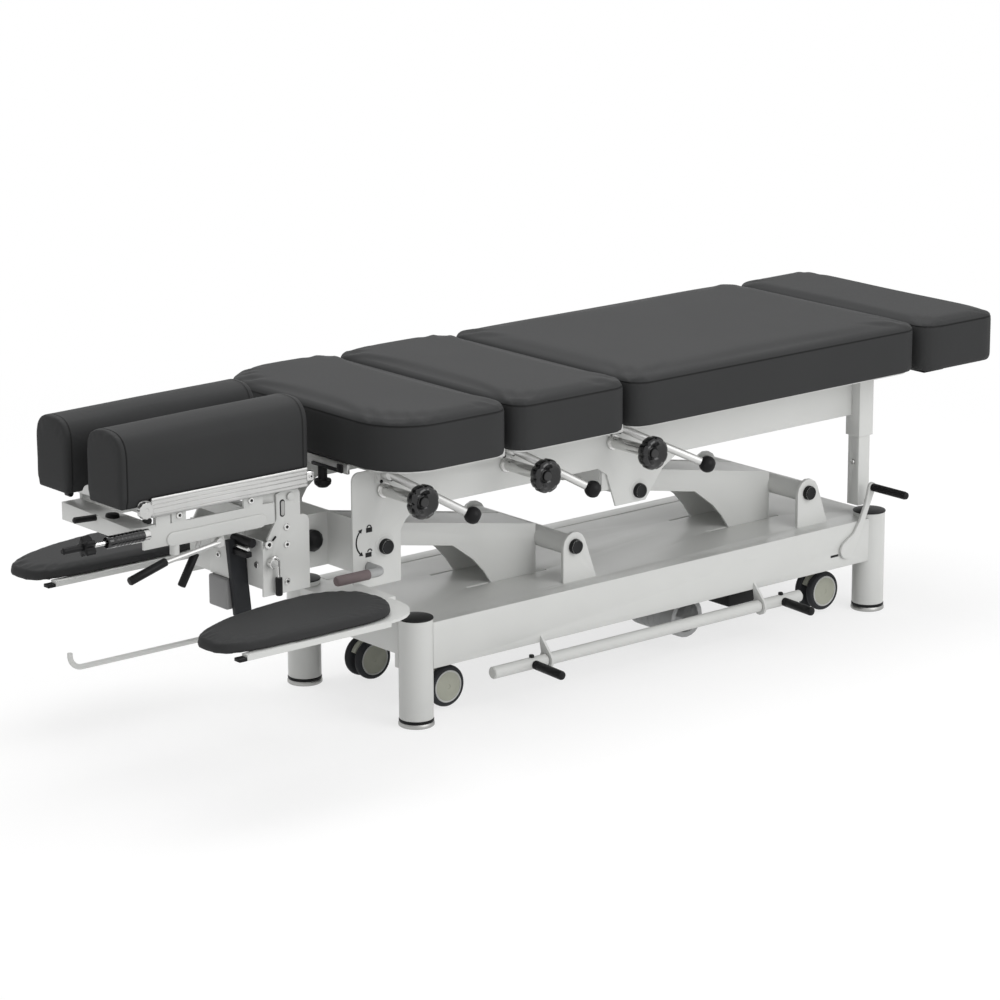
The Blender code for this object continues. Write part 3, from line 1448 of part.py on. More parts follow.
def pad_outline(edge_y):
    """The armrest pad from above, smoothed through its share table."""
    count = len(pad_along_share)
    points = []
    for index in range(count):
        along = pad_low_x + pad_along_share[index] * pad_length
        points.append(Vector((along, edge_y + pad_across_share[index] * pad_width)))
    smooth = []
    for index in range(count):
        before, here, after, beyond = (points[(index + step) % count] for step in (-1, 0, 1, 2))
        smooth.append(here)
        smooth.append((9 * (here + after) - before - beyond) / 16)
    return smooth


def make_armrest(name, side, edge_y):
    """An armrest: the pad, and a swing plate with a rail along its straight edge."""
    outline = pad_outline(edge_y)
    middle = sum(outline, Vector((0, 0))) / len(outline)
    levels = (
        armrest_pad_low,
        armrest_pad_low + pad_edge,
        pad_top_z - pad_crown - pad_edge,
        pad_top_z - pad_crown,
        pad_top_z - pad_crown / 3,
        pad_top_z,
    )
    rings = []
    for spread, level in zip(pad_spread_share, levels):
        rings.append([Vector((*(middle + (point - middle) * spread), level)) for point in outline])
    pivot = (armrest_pivot_x, side * armrest_pivot_y, swing_plate_low)
    piece(f"armrest_pad_{name}", layers(rings), upholstery, pivot)
    low_y = edge_y - swing_edge_out
    centre_y = low_y + weld + swing_end_radius
    end_round = arc((swing_end_x, centre_y), swing_end_radius, -90, 90, steps=2 * arc_steps)
    outline = [
        (swing_tail_x, low_y + weld),
        *end_round,
        ((swing_end_x + swing_tail_x) / 2, centre_y + swing_end_radius / 2),
        (swing_tail_x, low_y + swing_end_radius / 2),
    ]
    sheet = plate(outline, "z", swing_plate_low, swing_plate_high)
    rail_low = swing_plate_low - armrest_rail_height
    rail = box(
        (armrest_rail_low_x, low_y, rail_low),
        (armrest_rail_high_x, low_y + armrest_rail_width, swing_plate_high - weld / 2),
    )
    hole = rod(
        (armrest_pivot_x, side * armrest_pivot_y, swing_plate_low - overrun),
        (armrest_pivot_x, side * armrest_pivot_y, swing_plate_high + overrun),
        armrest_hole_radius,
    )
    piece(f"armrest_swing_plate_{name}", cut(join(sheet, rail), hole), white_paint, pivot)


table_root = start_scene()
make_tray()
make_legs()
make_lift_arm("lift_arm_head", base_pivot_head_x)
make_lift_arm("lift_arm_foot", base_pivot_foot_x)
make_actuator()
make_side_plate("side_plate_front", -1)
make_side_plate("side_plate_back", 1)
make_cross_webs()
make_post()
for station_name, place_x, lever_x in zip(station_names, station_x, lever_reach):
    make_drop_station(station_name, place_x, lever_x)
make_sections()
make_foot_section()
make_castors()
make_lift_lever()
make_foot_bar()
make_end_rod()
make_head_bracket()
make_tilt_frame()
make_head_rests()
make_head_controls()
make_release_lever()
make_pull_handle()
make_armrest("front", -1, armrest_front_edge_y)
make_armrest("back", 1, armrest_back_edge_y)
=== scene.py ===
"""The chiropractic drop table in its finishes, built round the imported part, in metres.

X runs from the head end to the foot end, the side with the knobs faces -Y, and Z = 0 is the floor.
"""

import json
import math

import bmesh
import bpy
from mathutils import Matrix, Vector


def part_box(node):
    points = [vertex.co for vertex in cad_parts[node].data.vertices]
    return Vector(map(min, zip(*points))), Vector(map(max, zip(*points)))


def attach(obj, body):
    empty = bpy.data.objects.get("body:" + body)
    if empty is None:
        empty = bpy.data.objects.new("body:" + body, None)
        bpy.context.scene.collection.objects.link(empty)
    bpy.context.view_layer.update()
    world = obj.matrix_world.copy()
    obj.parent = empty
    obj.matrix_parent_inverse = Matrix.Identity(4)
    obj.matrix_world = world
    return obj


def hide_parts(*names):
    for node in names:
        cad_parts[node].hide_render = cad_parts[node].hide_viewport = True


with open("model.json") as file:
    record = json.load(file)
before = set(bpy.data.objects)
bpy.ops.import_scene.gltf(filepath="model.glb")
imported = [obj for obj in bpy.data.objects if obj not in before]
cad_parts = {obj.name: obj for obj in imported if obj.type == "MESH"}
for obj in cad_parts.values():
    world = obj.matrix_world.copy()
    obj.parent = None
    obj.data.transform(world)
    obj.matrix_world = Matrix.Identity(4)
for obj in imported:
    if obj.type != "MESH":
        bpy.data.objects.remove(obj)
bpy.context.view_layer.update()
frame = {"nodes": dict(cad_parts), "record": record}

leg_boxes = [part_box(f"leg_{end}_{side}") for end in ("head", "foot") for side in ("front", "back")]
home_x = sum(low[0] + high[0] for low, high in leg_boxes) / 8     # midway between the head and foot legs


# Camera
# It stands off the head end on the knob side and looks a little down along the table.
# Its long lens keeps the table's edges nearly parallel, as in the photograph.
def at(x, y, z):
    """A place measured along the table from midway between its legs."""
    return Vector((home_x + x, y, z))


def shown(name, data):
    """An object in the scene, at the origin."""
    item = bpy.data.objects.new(name, data)
    bpy.context.scene.collection.objects.link(item)
    return item


camera_place = at(-4.5371, -5.1971, 2.1161)
camera_turn = 0.69099
camera_dip = 0.25887
camera_lean = 0.003949
sensor = 36
lens_per_sensor = 3.6947
level = Vector((math.cos(camera_turn), -math.sin(camera_turn), 0))
ahead = Vector((math.sin(camera_turn), math.cos(camera_turn), 0))
forward = ahead * math.cos(camera_dip) - Vector((0, 0, math.sin(camera_dip)))
below = forward.cross(level)
camera_right = level * math.cos(camera_lean) + below * math.sin(camera_lean)
camera_up = level * math.sin(camera_lean) - below * math.cos(camera_lean)
camera_data = bpy.data.cameras.new("camera")
camera_data.sensor_fit = "HORIZONTAL"
camera_data.sensor_width = sensor
camera_data.lens = sensor * lens_per_sensor
camera = shown("camera", camera_data)
camera.matrix_world = Matrix((camera_right, camera_up, -forward)).transposed().to_4x4()
camera.matrix_world.translation = camera_place
bpy.context.scene.camera = camera
bpy.context.scene.view_settings.view_transform = "Standard"


# Studio
# A wide pale floor, one broad lamp over the knob side, a softer one overhead and a dim even world.
# The floor turns plain white away from the table, and keeps the soft shadow under it.
class Signal:
    """A socket of a finish's nodes that sums and products can be written with."""

    def __init__(self, finish, socket):
        self.finish = finish
        self.socket = socket

    def maths(self, operation, other):
        return self.finish.add("ShaderNodeMath", {"operation": operation}, (self, other))

    def __add__(self, other):
        return self.maths("ADD", other)

    def __sub__(self, other):
        return self.maths("SUBTRACT", other)

    def __mul__(self, other):
        return self.maths("MULTIPLY", other)

    __radd__ = __add__
    __rmul__ = __mul__


class Finish:
    """A material or the world, with one way to add any node."""

    def __init__(self, owner):
        owner.use_nodes = True
        self.owner = owner
        self.tree = owner.node_tree

    def fill(self, sockets, inputs):
        """Link or set sockets, by name or in order."""
        for key, value in inputs.items() if isinstance(inputs, dict) else enumerate(inputs):
            if isinstance(value, Signal):
                self.tree.links.new(value.socket, sockets[key])
            else:
                sockets[key].default_value = value

    def add(self, kind, settings=None, inputs=(), output=0):
        node = self.tree.nodes.new(kind)
        for key, value in (settings or {}).items():
            setattr(node, key, value)
        self.fill(node.inputs, inputs)
        return Signal(self, node.outputs[output])

    def in_sight(self):
        """1 where the camera or a mirror image looks, and 0 for all other light."""
        ways = [self.add("ShaderNodeLightPath", output=f"Is {kind} Ray") for kind in ("Camera", "Glossy")]
        return self.add("ShaderNodeMath", {"operation": "MAXIMUM"}, ways)

    def end(self, kind, share, first, second):
        """Mix two shaders by a share for the material's or the world's output."""
        mixed = self.add("ShaderNodeMixShader", None, (share, first, second))
        self.tree.links.new(mixed.socket, self.tree.nodes[kind].inputs["Surface"])


room_dim = 0.68
lamp_aim = Vector((0, 0, 0.4))
lamps = {
    "key_lamp": (60, (2.6, 2.6), (0.9, -3.5, 2.3)),
    "top_lamp": (60, (3.2, 1.8), (0.2, 0.7, 3.2)),
}
floor_reach = 30
floor_clear = (1.5, 2.8, 0.72, 1.0)     # clear white from and to these distances, between these shares

world = bpy.data.worlds.new("studio")
bpy.context.scene.world = world
air = Finish(world)
air.tree.nodes.remove(air.tree.nodes["Background"])
white = (1, 1, 1, 1)
dim_air, white_air = (
    air.add("ShaderNodeBackground", None, {"Color": white, "Strength": strength})
    for strength in (room_dim, 1.0)
)
air.end("World Output", air.in_sight(), dim_air, white_air)

for lamp_name, (power, size, place) in lamps.items():
    lamp_data = bpy.data.lights.new(lamp_name, "AREA")
    lamp_data.shape = "RECTANGLE"
    lamp_data.size, lamp_data.size_y = size
    lamp_data.energy = power
    lamp = shown(lamp_name, lamp_data)
    lamp.location = place
    lamp.rotation_euler = (lamp_aim - Vector(place)).to_track_quat("-Z", "Y").to_euler()

floor_mesh = bpy.data.meshes.new("floor")
floor_shape = bmesh.new()
bmesh.ops.create_grid(floor_shape, x_segments=1, y_segments=1, size=floor_reach)
floor_shape.to_mesh(floor_mesh)
floor_shape.free()
ground = Finish(bpy.data.materials.new("pale_floor"))
ground.tree.nodes.remove(ground.tree.nodes["Principled BSDF"])
spot = ground.add("ShaderNodeTexCoord", output="Object")
away = ground.add("ShaderNodeVectorMath", {"operation": "LENGTH"}, (spot,), "Value")
clear = ground.add("ShaderNodeMapRange", {"interpolation_type": "SMOOTHSTEP"}, (away, *floor_clear))
matt = ground.add("ShaderNodeBsdfDiffuse", None, {"Color": (0.95, 0.95, 0.95, 1)})
glow = ground.add("ShaderNodeEmission", None, {"Color": white, "Strength": 1.0})
ground.end("Material Output", clear * ground.in_sight(), matt, glow)
floor_mesh.materials.append(ground.owner)
floor = shown("floor", floor_mesh)


# Tray
# A folded steel sheet that stands on its rims like a lid, with lugs, hooks and castor guides welded on.
# The powder coat rounds its edges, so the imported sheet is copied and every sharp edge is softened.
class Coat(Finish):
    """A surface finish on the record's slot it belongs to, with Object coordinates to work from."""

    def __init__(self, name, slot):
        super().__init__(bpy.data.materials.new(name))
        self.slot = slot
        self.shader = self.tree.nodes["Principled BSDF"]
        self.place = self.add("ShaderNodeTexCoord", output="Object")

    def noise(self, size, detail=2, stretch=(1, 1, 1)):
        """Soft mottling whose patches are about size metres, stretched along the axes with large numbers."""
        scale = tuple(1 / part for part in stretch)
        place = self.add("ShaderNodeMapping", None, {"Vector": self.place, "Scale": scale})
        return self.add("ShaderNodeTexNoise", None, {"Vector": place, "Scale": 1 / size, "Detail": detail})

    def between(self, share, first, second):
        """A colour between two, by a share."""
        colours = {6: first if isinstance(first, Signal) else (*first, 1), 7: (*second, 1)}
        return self.add("ShaderNodeMix", {"data_type": "RGBA"}, {0: share, **colours}, 2)

    def relief(self, height, depth, strength):
        """Surface bumps of a height signal, depth metres deep."""
        return self.add("ShaderNodeBump", None, {"Height": height, "Distance": depth, "Strength": strength})

    def wear(self, **sockets):
        """Set or link the shader's sockets, named with low lines for spaces."""
        self.fill(self.shader.inputs, {key.replace("_", " "): value for key, value in sockets.items()})


def powder_coat(name, slot, colour, shade):
    """Baked powder paint: faint mottling, fine orange peel and a few rubbed patches."""
    coat = Coat(name, slot)
    patches = coat.noise(0.09, 3)
    rubbed = coat.add("ShaderNodeMapRange", None, (coat.noise(0.035, 4), 0.62, 0.72, 0.0, 1.0))
    coat.wear(
        Base_Color=coat.between(patches, colour, shade),
        Roughness=0.3 + 0.1 * patches + 0.06 * rubbed,
        Normal=coat.relief(coat.noise(0.0016, 1), 0.00006, 0.5),
    )
    return coat


white_coat = powder_coat("white_powder_coat", "white", (0.6, 0.605, 0.59), (0.56, 0.565, 0.55))
edge_angle = math.radians(34)


def made(name, shape, coat, body, replaced=(), sharp=edge_angle):
    """Turn a shape into a finished piece that rides on a body."""
    bmesh.ops.remove_doubles(shape, verts=shape.verts, dist=0.000005)
    bmesh.ops.recalc_face_normals(shape, faces=shape.faces)
    mesh = bpy.data.meshes.new(name)
    shape.to_mesh(mesh)
    shape.free()
    mesh.materials.append(coat.owner)
    mesh.shade_smooth()
    mesh.set_sharp_from_angle(angle=sharp)
    item = shown(name, mesh)
    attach(item, body)
    if replaced:
        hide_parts(*replaced)
    return item


def rounded_edges(shape, edges, width, segments=2):
    """Bevel some edges of a shape to round them."""
    bmesh.ops.bevel(
        shape, geom=edges, offset=width, offset_type="OFFSET", affect="EDGES", segments=segments, profile=0.5,
        material=-1, clamp_overlap=True,
    )
    return shape


def soften(shape, width, segments=2):
    """Round off the edges that turn sharply."""
    edges = [
        edge for edge in shape.edges
        if len(edge.link_faces) == 2 and edge.calc_face_angle(0) > edge_angle
    ]
    return rounded_edges(shape, edges, width, segments)


def copied(node, width):
    """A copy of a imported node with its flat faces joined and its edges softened."""
    shape = bmesh.new()
    shape.from_mesh(frame["nodes"][node].data)
    bmesh.ops.remove_doubles(shape, verts=shape.verts, dist=0.00002)
    bmesh.ops.dissolve_limit(
        shape, angle_limit=math.radians(0.4), verts=shape.verts, edges=shape.edges, delimit={"NORMAL"}
    )
    return soften(shape, width) if width else shape


def box_of(node):
    """The low and high corners of a node's box at rest."""
    return [Vector(spot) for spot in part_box(node)]


def block(low, high, soft=0.001, segments=2):
    """A block between two corners with rounded edges."""
    shape = bmesh.new()
    size = Vector(high) - Vector(low)
    matrix = Matrix.Translation((Vector(high) + Vector(low)) / 2) @ Matrix.Diagonal((*size, 1))
    bmesh.ops.create_cube(shape, size=1, matrix=matrix)
    return soften(shape, soft, segments)


joint_at = {}
for joint in frame["record"]["behaviour"]["joints"]:
    if "pos_m" in joint:
        joint_at[joint["name"]] = Vector(joint["pos_m"])

made("tray_sheet", copied("tray", 0.0009), white_coat, "base", ["tray"])
flange = block(at(-0.533, 0.155, 0.193), at(0.527, 0.188, 0.1952), 0.0006)
made("tray_back_flange", flange, white_coat, "base")


# Legs
# Round painted tubes, each with a domed black cap, a black ring near the floor and a levelling foot of steel.
# They are turned here with many steps, so their outline is round.
def spun(outline, origin, axis, steps=48):
    """Spin (distance along the axis, radius) pairs into a turned shape that starts and ends on the axis."""
    shape = bmesh.new()
    points = [shape.verts.new((radius, 0, along)) for along, radius in outline]
    for here, after in zip(points, points[1:]):
        shape.edges.new((here, after))
    bmesh.ops.spin(
        shape, geom=shape.verts[:] + shape.edges[:], cent=(0, 0, 0), axis=(0, 0, 1), angle=2 * math.pi,
        steps=steps, use_merge=True,
    )
    bmesh.ops.remove_doubles(shape, verts=shape.verts, dist=0.000005)
    bmesh.ops.recalc_face_normals(shape, faces=shape.faces)
    matrix = Matrix.Translation(origin) @ Vector(axis).to_track_quat("Z", "Y").to_matrix().to_4x4()
    bmesh.ops.transform(shape, matrix=matrix, verts=shape.verts)
    return shape


def moulding(name, colour, rough, speck=0.0012, slot="black", shine=0.14):
    """Moulded plastic: an even colour with a fine grain and faint handling marks."""
    coat = Coat(name, slot)
    marks = coat.noise(0.02, 4)
    lighter = tuple(part * 1.25 + 0.002 for part in colour)
    coat.wear(
        Specular_IOR_Level=shine,
        Base_Color=coat.between(marks, colour, lighter),
        Roughness=rough + 0.12 * marks,
        Normal=coat.relief(coat.noise(speck, 1), 0.00004, 0.6),
    )
    return coat


def bare_metal(name, slot, colour, rough, streak, stretch=(1, 1, 1)):
    """Plated or drawn metal with fine streaks along its length."""
    coat = Coat(name, slot)
    lines = coat.noise(streak, 3, stretch)
    dull = coat.noise(0.03, 3)
    coat.wear(
        Base_Color=coat.between(dull, colour, tuple(part * 0.86 for part in colour)),
        Metallic=1.0,
        Roughness=rough + 0.1 * lines + 0.08 * dull,
        Normal=coat.relief(lines, 0.00003, 0.4),
    )
    return coat


black_plastic = moulding("black_moulding", (0.0085, 0.0085, 0.009), 0.34)
cap_plastic = moulding("black_cap", (0.0125, 0.0128, 0.0132), 0.42)
chrome = bare_metal("bright_plating", "steel", (0.72, 0.72, 0.71), 0.14, 0.0015)
steel = bare_metal("dull_steel", "steel", (0.42, 0.42, 0.41), 0.34, 0.0009)

leg_radius = 0.0317
ring_low, ring_high = 0.0085, 0.0135
cap_low, cap_top = 0.2022, 0.208
leg_parts = {
    "tube": (white_coat, (
        (ring_high, 0), (ring_high, leg_radius - 0.0015), (ring_high + 0.0012, leg_radius),
        (cap_low, leg_radius), (cap_low, 0),
    )),
    "foot": (steel, (
        (0, 0), (0, 0.0318), (0.0015, 0.0333), (0.0055, 0.0333), (0.0068, 0.0325), (0.0082, 0.0318),
        (ring_low, 0.03), (ring_low, 0),
    )),
    "ring": (black_plastic, (
        (ring_low, 0), (ring_low, 0.0312), (ring_low + 0.0008, 0.0324), (ring_high - 0.0008, 0.0324),
        (ring_high, 0.0312), (ring_high, 0),
    )),
    "cap": (cap_plastic, (
        (cap_low, 0), (cap_low, 0.0326), (cap_low + 0.0012, 0.0329), (cap_low + 0.0024, 0.0322),
        (cap_top - 0.0018, 0.025), (cap_top - 0.0006, 0.014), (cap_top, 0),
    )),
}
corner_names = ("head_front", "head_back", "foot_front", "foot_back")
for name in corner_names:
    low, high = box_of("leg_" + name)
    leg_at = ((low.x + high.x) / 2, (low.y + high.y) / 2, 0)
    for part, (coat, outline) in leg_parts.items():
        replaced = ["leg_" + name] if part == "tube" else ()
        made(f"leg_{name}_{part}", spun(outline, leg_at, (0, 0, 1), 64), coat, "base", replaced)


# Lift arms
# Each arm is a pair of cut plates with a top flange between two cross tubes, and pivots on pins in the lugs.
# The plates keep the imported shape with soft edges; the tubes and the black pin caps are turned.
def together(*shapes):
    """Put several shapes into one mesh."""
    whole = bmesh.new()
    for shape in shapes:
        mesh = bpy.data.meshes.new("part")
        shape.to_mesh(mesh)
        shape.free()
        whole.from_mesh(mesh)
        bpy.data.meshes.remove(mesh)
    return whole


def tube(start, end, radius, soft=0.0008, steps=32):
    """A round bar between two points with chamfered ends."""
    run = Vector(end) - Vector(start)
    length = run.length
    outline = (
        (0, 0), (0, radius - soft), (soft, radius), (length - soft, radius), (length, radius - soft),
        (length, 0),
    )
    return spun(outline, start, run, steps)


pin_cap = (
    (0, 0), (0, 0.0142), (0.00561, 0.0142), (0.00867, 0.013206), (0.0102, 0.011076), (0.00918, 0.00781),
    (0.00918, 0),
)
cap_face = 0.1523
arm_run = joint_at["frame_pivot"] - joint_at["lift"]
for arm_end, base_pin in (("head", joint_at["lift"]), ("foot", joint_at["foot_arm_pivot"])):
    arm_node = "lift_arm_" + arm_end
    arm_body = "arm_" + arm_end
    pins = ((base_pin, 0.1446, 0.0199), (base_pin + arm_run, 0.1456, 0.0184))
    made(arm_node + "_plates", copied(arm_node, 0.0007), white_coat, arm_body, [arm_node])
    for side in (-1, 1):
        for place, (pin, _, _) in zip(("low", "high"), pins):
            cap = spun(pin_cap, (pin.x, side * cap_face, pin.z), (0, side, 0), 32)
            made(f"{arm_node}_cap_{place}_{side + 1}", cap, cap_plastic, arm_body)
    for index, (pin, reach, radius) in enumerate(pins):
        sleeve = tube((pin.x, -reach, pin.z), (pin.x, reach, pin.z), radius)
        made(f"{arm_node}_sleeve_{index}", sleeve, white_coat, arm_body)

# Lift motor
# A painted gearbox and motor can hang under the tray and drive a plated push rod to the head arm's lobe.
# The can has a rolled end and cooling grooves, and the control box beside it has a black seal round its lid.
grey_coat = powder_coat("grey_paint", "grey", (0.36, 0.365, 0.365), (0.32, 0.325, 0.325))
made("actuator_housing", copied("actuator_body", 0.0012), grey_coat, "actuator", ["actuator_body"])
can_start = joint_at["actuator_tail"] + Vector((-0.086, 0, -0.043))
can_start.y = -0.023
can = [(0, 0), (0, 0.0385), (0.002, 0.0403)]
for groove in range(5):
    along = 0.018 + groove * 0.018
    can += [(along, 0.0403), (along + 0.001, 0.0392), (along + 0.004, 0.0392), (along + 0.005, 0.0403)]
can += [(0.12, 0.0403), (0.1245, 0.0388), (0.1265, 0.035), (0.127, 0.03), (0.127, 0)]
made("motor_can", spun(can, can_start, (0, -1, 0), 56), grey_coat, "actuator")
made("actuator_push_rod", copied("actuator_rod", 0.0008), chrome, "pusher", ["actuator_rod"])
low, high = box_of("control_box")
made("control_box_case", block(low, high, 0.004, 4), cap_plastic, "base", ["control_box"])
seal_low = low + Vector((-0.0006, -0.0006, 0.022))
seal = block(seal_low, (high.x + 0.0006, high.y, seal_low.z + 0.004), 0.0005)
made("control_box_seal", seal, black_plastic, "base")

# Castors
# Four twin-wheel castors: dark rubber tyres on pale discs, a moulded hood between them and a round crown.
# Each hood swivels on its stem in the lift frame, and its two wheels turn together on one axle.
tyre_rubber = moulding("tyre_rubber", (0.03, 0.031, 0.034), 0.55, 0.0008, "tyre")
disc_plastic = moulding("disc_moulding", (0.36, 0.365, 0.31), 0.34, 0.002, "grey")
rim_plastic = moulding("rim_moulding", (0.5, 0.505, 0.49), 0.34, 0.002, "grey")
wheel_radius = 0.0394
wheel_in = 0.0072
wheel_out = 0.0248
hood_half = 0.0064
hood_radius = 0.0372
tyre_ring = (
    (wheel_in, 0.01), (wheel_in, 0.0335), (wheel_in + 0.0015, 0.0368), (wheel_in + 0.004, 0.0388),
    (wheel_in + 0.007, wheel_radius), (wheel_out - 0.007, wheel_radius), (wheel_out - 0.004, 0.0386),
    (wheel_out - 0.0012, 0.0362), (wheel_out, 0.033), (wheel_out - 0.0004, 0.0312),
    (wheel_out - 0.004, 0.0306), (wheel_out - 0.004, 0.01), (wheel_in, 0.01),
)
rim_ring = (
    (0.016, 0), (0.016, 0.0308), (wheel_out - 0.001, 0.0308), (wheel_out, 0.0296),
    (wheel_out - 0.0005, 0.028), (wheel_out - 0.0018, 0.0276), (wheel_out - 0.0018, 0),
)
disc_face = (
    (0.018, 0), (0.018, 0.0274), (wheel_out - 0.0012, 0.0272), (wheel_out - 0.0004, 0.022),
    (wheel_out - 0.0001, 0.0045), (wheel_out - 0.0009, 0.004), (wheel_out - 0.0009, 0),
)
hood_outline = (
    (-hood_half, 0), (-hood_half, hood_radius - 0.0015), (-hood_half + 0.0012, hood_radius),
    (hood_half - 0.0012, hood_radius), (hood_half, hood_radius - 0.0015), (hood_half, 0),
)
crown_outline = ((0, 0), (0, 0.013), (0.0035, 0.0182), (0.0101, 0.019), (0.0113, 0.0182), (0.0113, 0))
for name in corner_names:
    axle = joint_at["roll_" + name]
    stem = joint_at["swivel_" + name]
    tyres, rims, discs = (
        [spun(outline, axle, (0, side, 0), steps) for side in (-1, 1)]
        for outline, steps in ((tyre_ring, 64), (rim_ring, 56), (disc_face, 56))
    )
    wheel_body = "wheel_" + name
    made(f"castor_tyres_{name}", together(*tyres), tyre_rubber, wheel_body, ["castor_wheel_" + name])
    hub = tube(axle - Vector((0, 0.018, 0)), axle + Vector((0, 0.018, 0)), 0.0065)
    made(f"castor_rims_{name}", together(hub, *rims), rim_plastic, wheel_body)
    made(f"castor_discs_{name}", together(*discs), disc_plastic, wheel_body)
    hood = spun(hood_outline, axle, (0, 1, 0), 64)
    sliced = bmesh.ops.bisect_plane(
        hood, geom=hood.verts[:] + hood.edges[:] + hood.faces[:], plane_co=axle - Vector((0, 0, 0.004)),
        plane_no=(-0.55, 0, -1), clear_outer=True,
    )
    cuts = [cut for cut in sliced["geom_cut"] if isinstance(cut, bmesh.types.BMEdge)]
    bmesh.ops.holes_fill(hood, edges=cuts)
    crown = spun(crown_outline, (stem.x, stem.y, 0.08), (0, 0, 1))
    pin = tube((stem.x, stem.y, 0.09), (stem.x, stem.y, 0.1052), 0.0058)
    fork = together(hood, crown, pin)
    made(f"castor_hood_{name}", fork, disc_plastic, "castor_" + name, ["castor_fork_" + name])

# Castor lift
# A welded bar frame carries the castors and slides down on four pins when the front rim's lever is turned.
# The lever is a formed plate with a swan neck and a black sleeve for the foot; a thin black slab on the rim
# behind it is painted shade for the slot's dark opening.
lift_bars = copied("castor_lift_frame", 0.0008)
made("castor_lift_bars", lift_bars, white_coat, "castor_lift", ["castor_lift_frame"])


def plate(outline, across, low, high, soft=0.0006, segments=2):
    """A flat plate: an outline face along the axis named in across, extruded and softened."""
    shape = bmesh.new()
    order = {"x": (2, 0, 1), "y": (0, 2, 1), "z": (0, 1, 2)}[across]
    points = []
    for first, second in outline:
        parts = (first, second, low)
        points.append(shape.verts.new([parts[place] for place in order]))
    grown = bmesh.ops.extrude_face_region(shape, geom=[shape.faces.new(points)])
    run = Vector([high - low if axis == across else 0 for axis in "xyz"])
    top = [item for item in grown["geom"] if isinstance(item, bmesh.types.BMVert)]
    bmesh.ops.translate(shape, verts=top, vec=run)
    bmesh.ops.recalc_face_normals(shape, faces=shape.faces)
    return soften(shape, soft, segments) if soft else shape


def bow(centre_at, radius, start, end, steps=12):
    """Points on an arc in degrees."""
    turns = [math.radians(start + (end - start) * step / steps) for step in range(steps + 1)]
    first, second = centre_at
    return [(first + radius * math.cos(turn), second + radius * math.sin(turn)) for turn in turns]


lever_at = joint_at["castor_lever"]
lever_face = -0.1923
tip_x = lever_at.x + 0.067
tip_z = lever_at.z + 0.118
outward_edge = ((0.026, 0.008), (0.043, 0.042), (0.062, 0.085))
inward_edge = ((0.048, 0.085), (0.034, 0.055), (0.018, 0.031), (0, 0.021), (-0.012, 0.013))
lever_outline = bow((lever_at.x, lever_at.z), 0.0175, 165, 330, 16)
lever_outline += [(lever_at.x + run, lever_at.z + rise) for run, rise in outward_edge]
lever_outline += bow((tip_x, tip_z), 0.0098, -12, 168)
lever_outline += [(lever_at.x + run, lever_at.z + rise) for run, rise in inward_edge]
lever = together(
    plate(lever_outline, "y", lever_face - 0.007, lever_face, 0.0016, 3),
    tube((lever_at.x, lever_face - 0.001, lever_at.z), (lever_at.x, lever_face + 0.015, lever_at.z), 0.0078),
    tube((tip_x, lever_face - 0.005, tip_z), (tip_x, lever_face - 0.095, tip_z), 0.0048),
)
made("castor_lever_plate", lever, white_coat, "lift_lever", ["castor_lift_lever"])
sleeve = (
    (0, 0), (0, 0.0068), (0.0015, 0.008), (0.088, 0.008), (0.0925, 0.0068), (0.0945, 0.0035), (0.0948, 0),
)
sleeve = spun(sleeve, (tip_x, lever_face - 0.007, tip_z), (0, -1, 0), 32)
made("castor_lever_sleeve", sleeve, black_plastic, "lift_lever")
# A thin black slab on the rim's face, painted shade for the dark opening of the slot behind the lever.
slot_shade_low = lever_at + Vector((-0.04, 0, -0.011))
slot_shade_high = lever_at + Vector((-0.018, 0, -0.006))
slot_shade_low.y, slot_shade_high.y = lever_face - 0.0002, lever_face + 0.002
made("castor_lever_slot_shade", block(slot_shade_low, slot_shade_high, 0.0008), cap_plastic, "base")

# Front foot bar
# A painted tube hangs in the two hooks of the front rim, so that it can be rocked from either end.
# Two pegs in black sleeves are bolted through it for the foot to press on.
bar_at = joint_at["foot_bar_rock"]
low, high = box_of("front_foot_bar")
bar_start = low.x - 0.006
bar_length = high.x - bar_start
bar_radius = 0.0116
neck_radius = 0.01
neck_half = 0.0045
bar_outline = [(0, 0), (0, bar_radius - 0.0016), (0.0016, bar_radius)]
for hook_x in (home_x - 0.3, home_x + 0.243):
    along = hook_x - bar_start
    bar_outline += [(along - neck_half, bar_radius), (along - neck_half, neck_radius)]
    bar_outline += [(along + neck_half, neck_radius), (along + neck_half, bar_radius)]
bar_outline += [(bar_length - 0.0016, bar_radius), (bar_length, bar_radius - 0.0016), (bar_length, 0)]
bar_tube = spun(bar_outline, (bar_start, bar_at.y, bar_at.z), (1, 0, 0), 40)
made("foot_bar_tube", bar_tube, white_coat, "foot_bar", ["front_foot_bar"])
peg_run = Vector((0, -0.088, -0.0035))
peg_outline = (
    (0, 0), (0, 0.0072), (0.0012, 0.0084), (0.01, 0.0086), (0.011, 0.0081), (0.0125, 0.0081),
    (0.0135, 0.0086), (0.0745, 0.0086), (0.0775, 0.0078), (0.079, 0.005), (0.079, 0),
)
nut_outline = ((0, 0), (0, 0.0052), (0.004, 0.0052), (0.005, 0.0044), (0.005, 0))
for index, peg_x in enumerate((home_x - 0.337, home_x + 0.299)):
    peg_root = Vector((peg_x, bar_at.y, bar_at.z))
    peg = spun(peg_outline, peg_root + peg_run * 0.115, peg_run, 32)
    made(f"foot_bar_sleeve_{index}", peg, black_plastic, "foot_bar")
    nut = spun(nut_outline, peg_root, (0, 0, 1), 6)
    bmesh.ops.translate(nut, verts=nut.verts, vec=(0, 0, bar_radius - 0.0002))
    made(f"foot_bar_nut_{index}", nut, cap_plastic, "foot_bar")


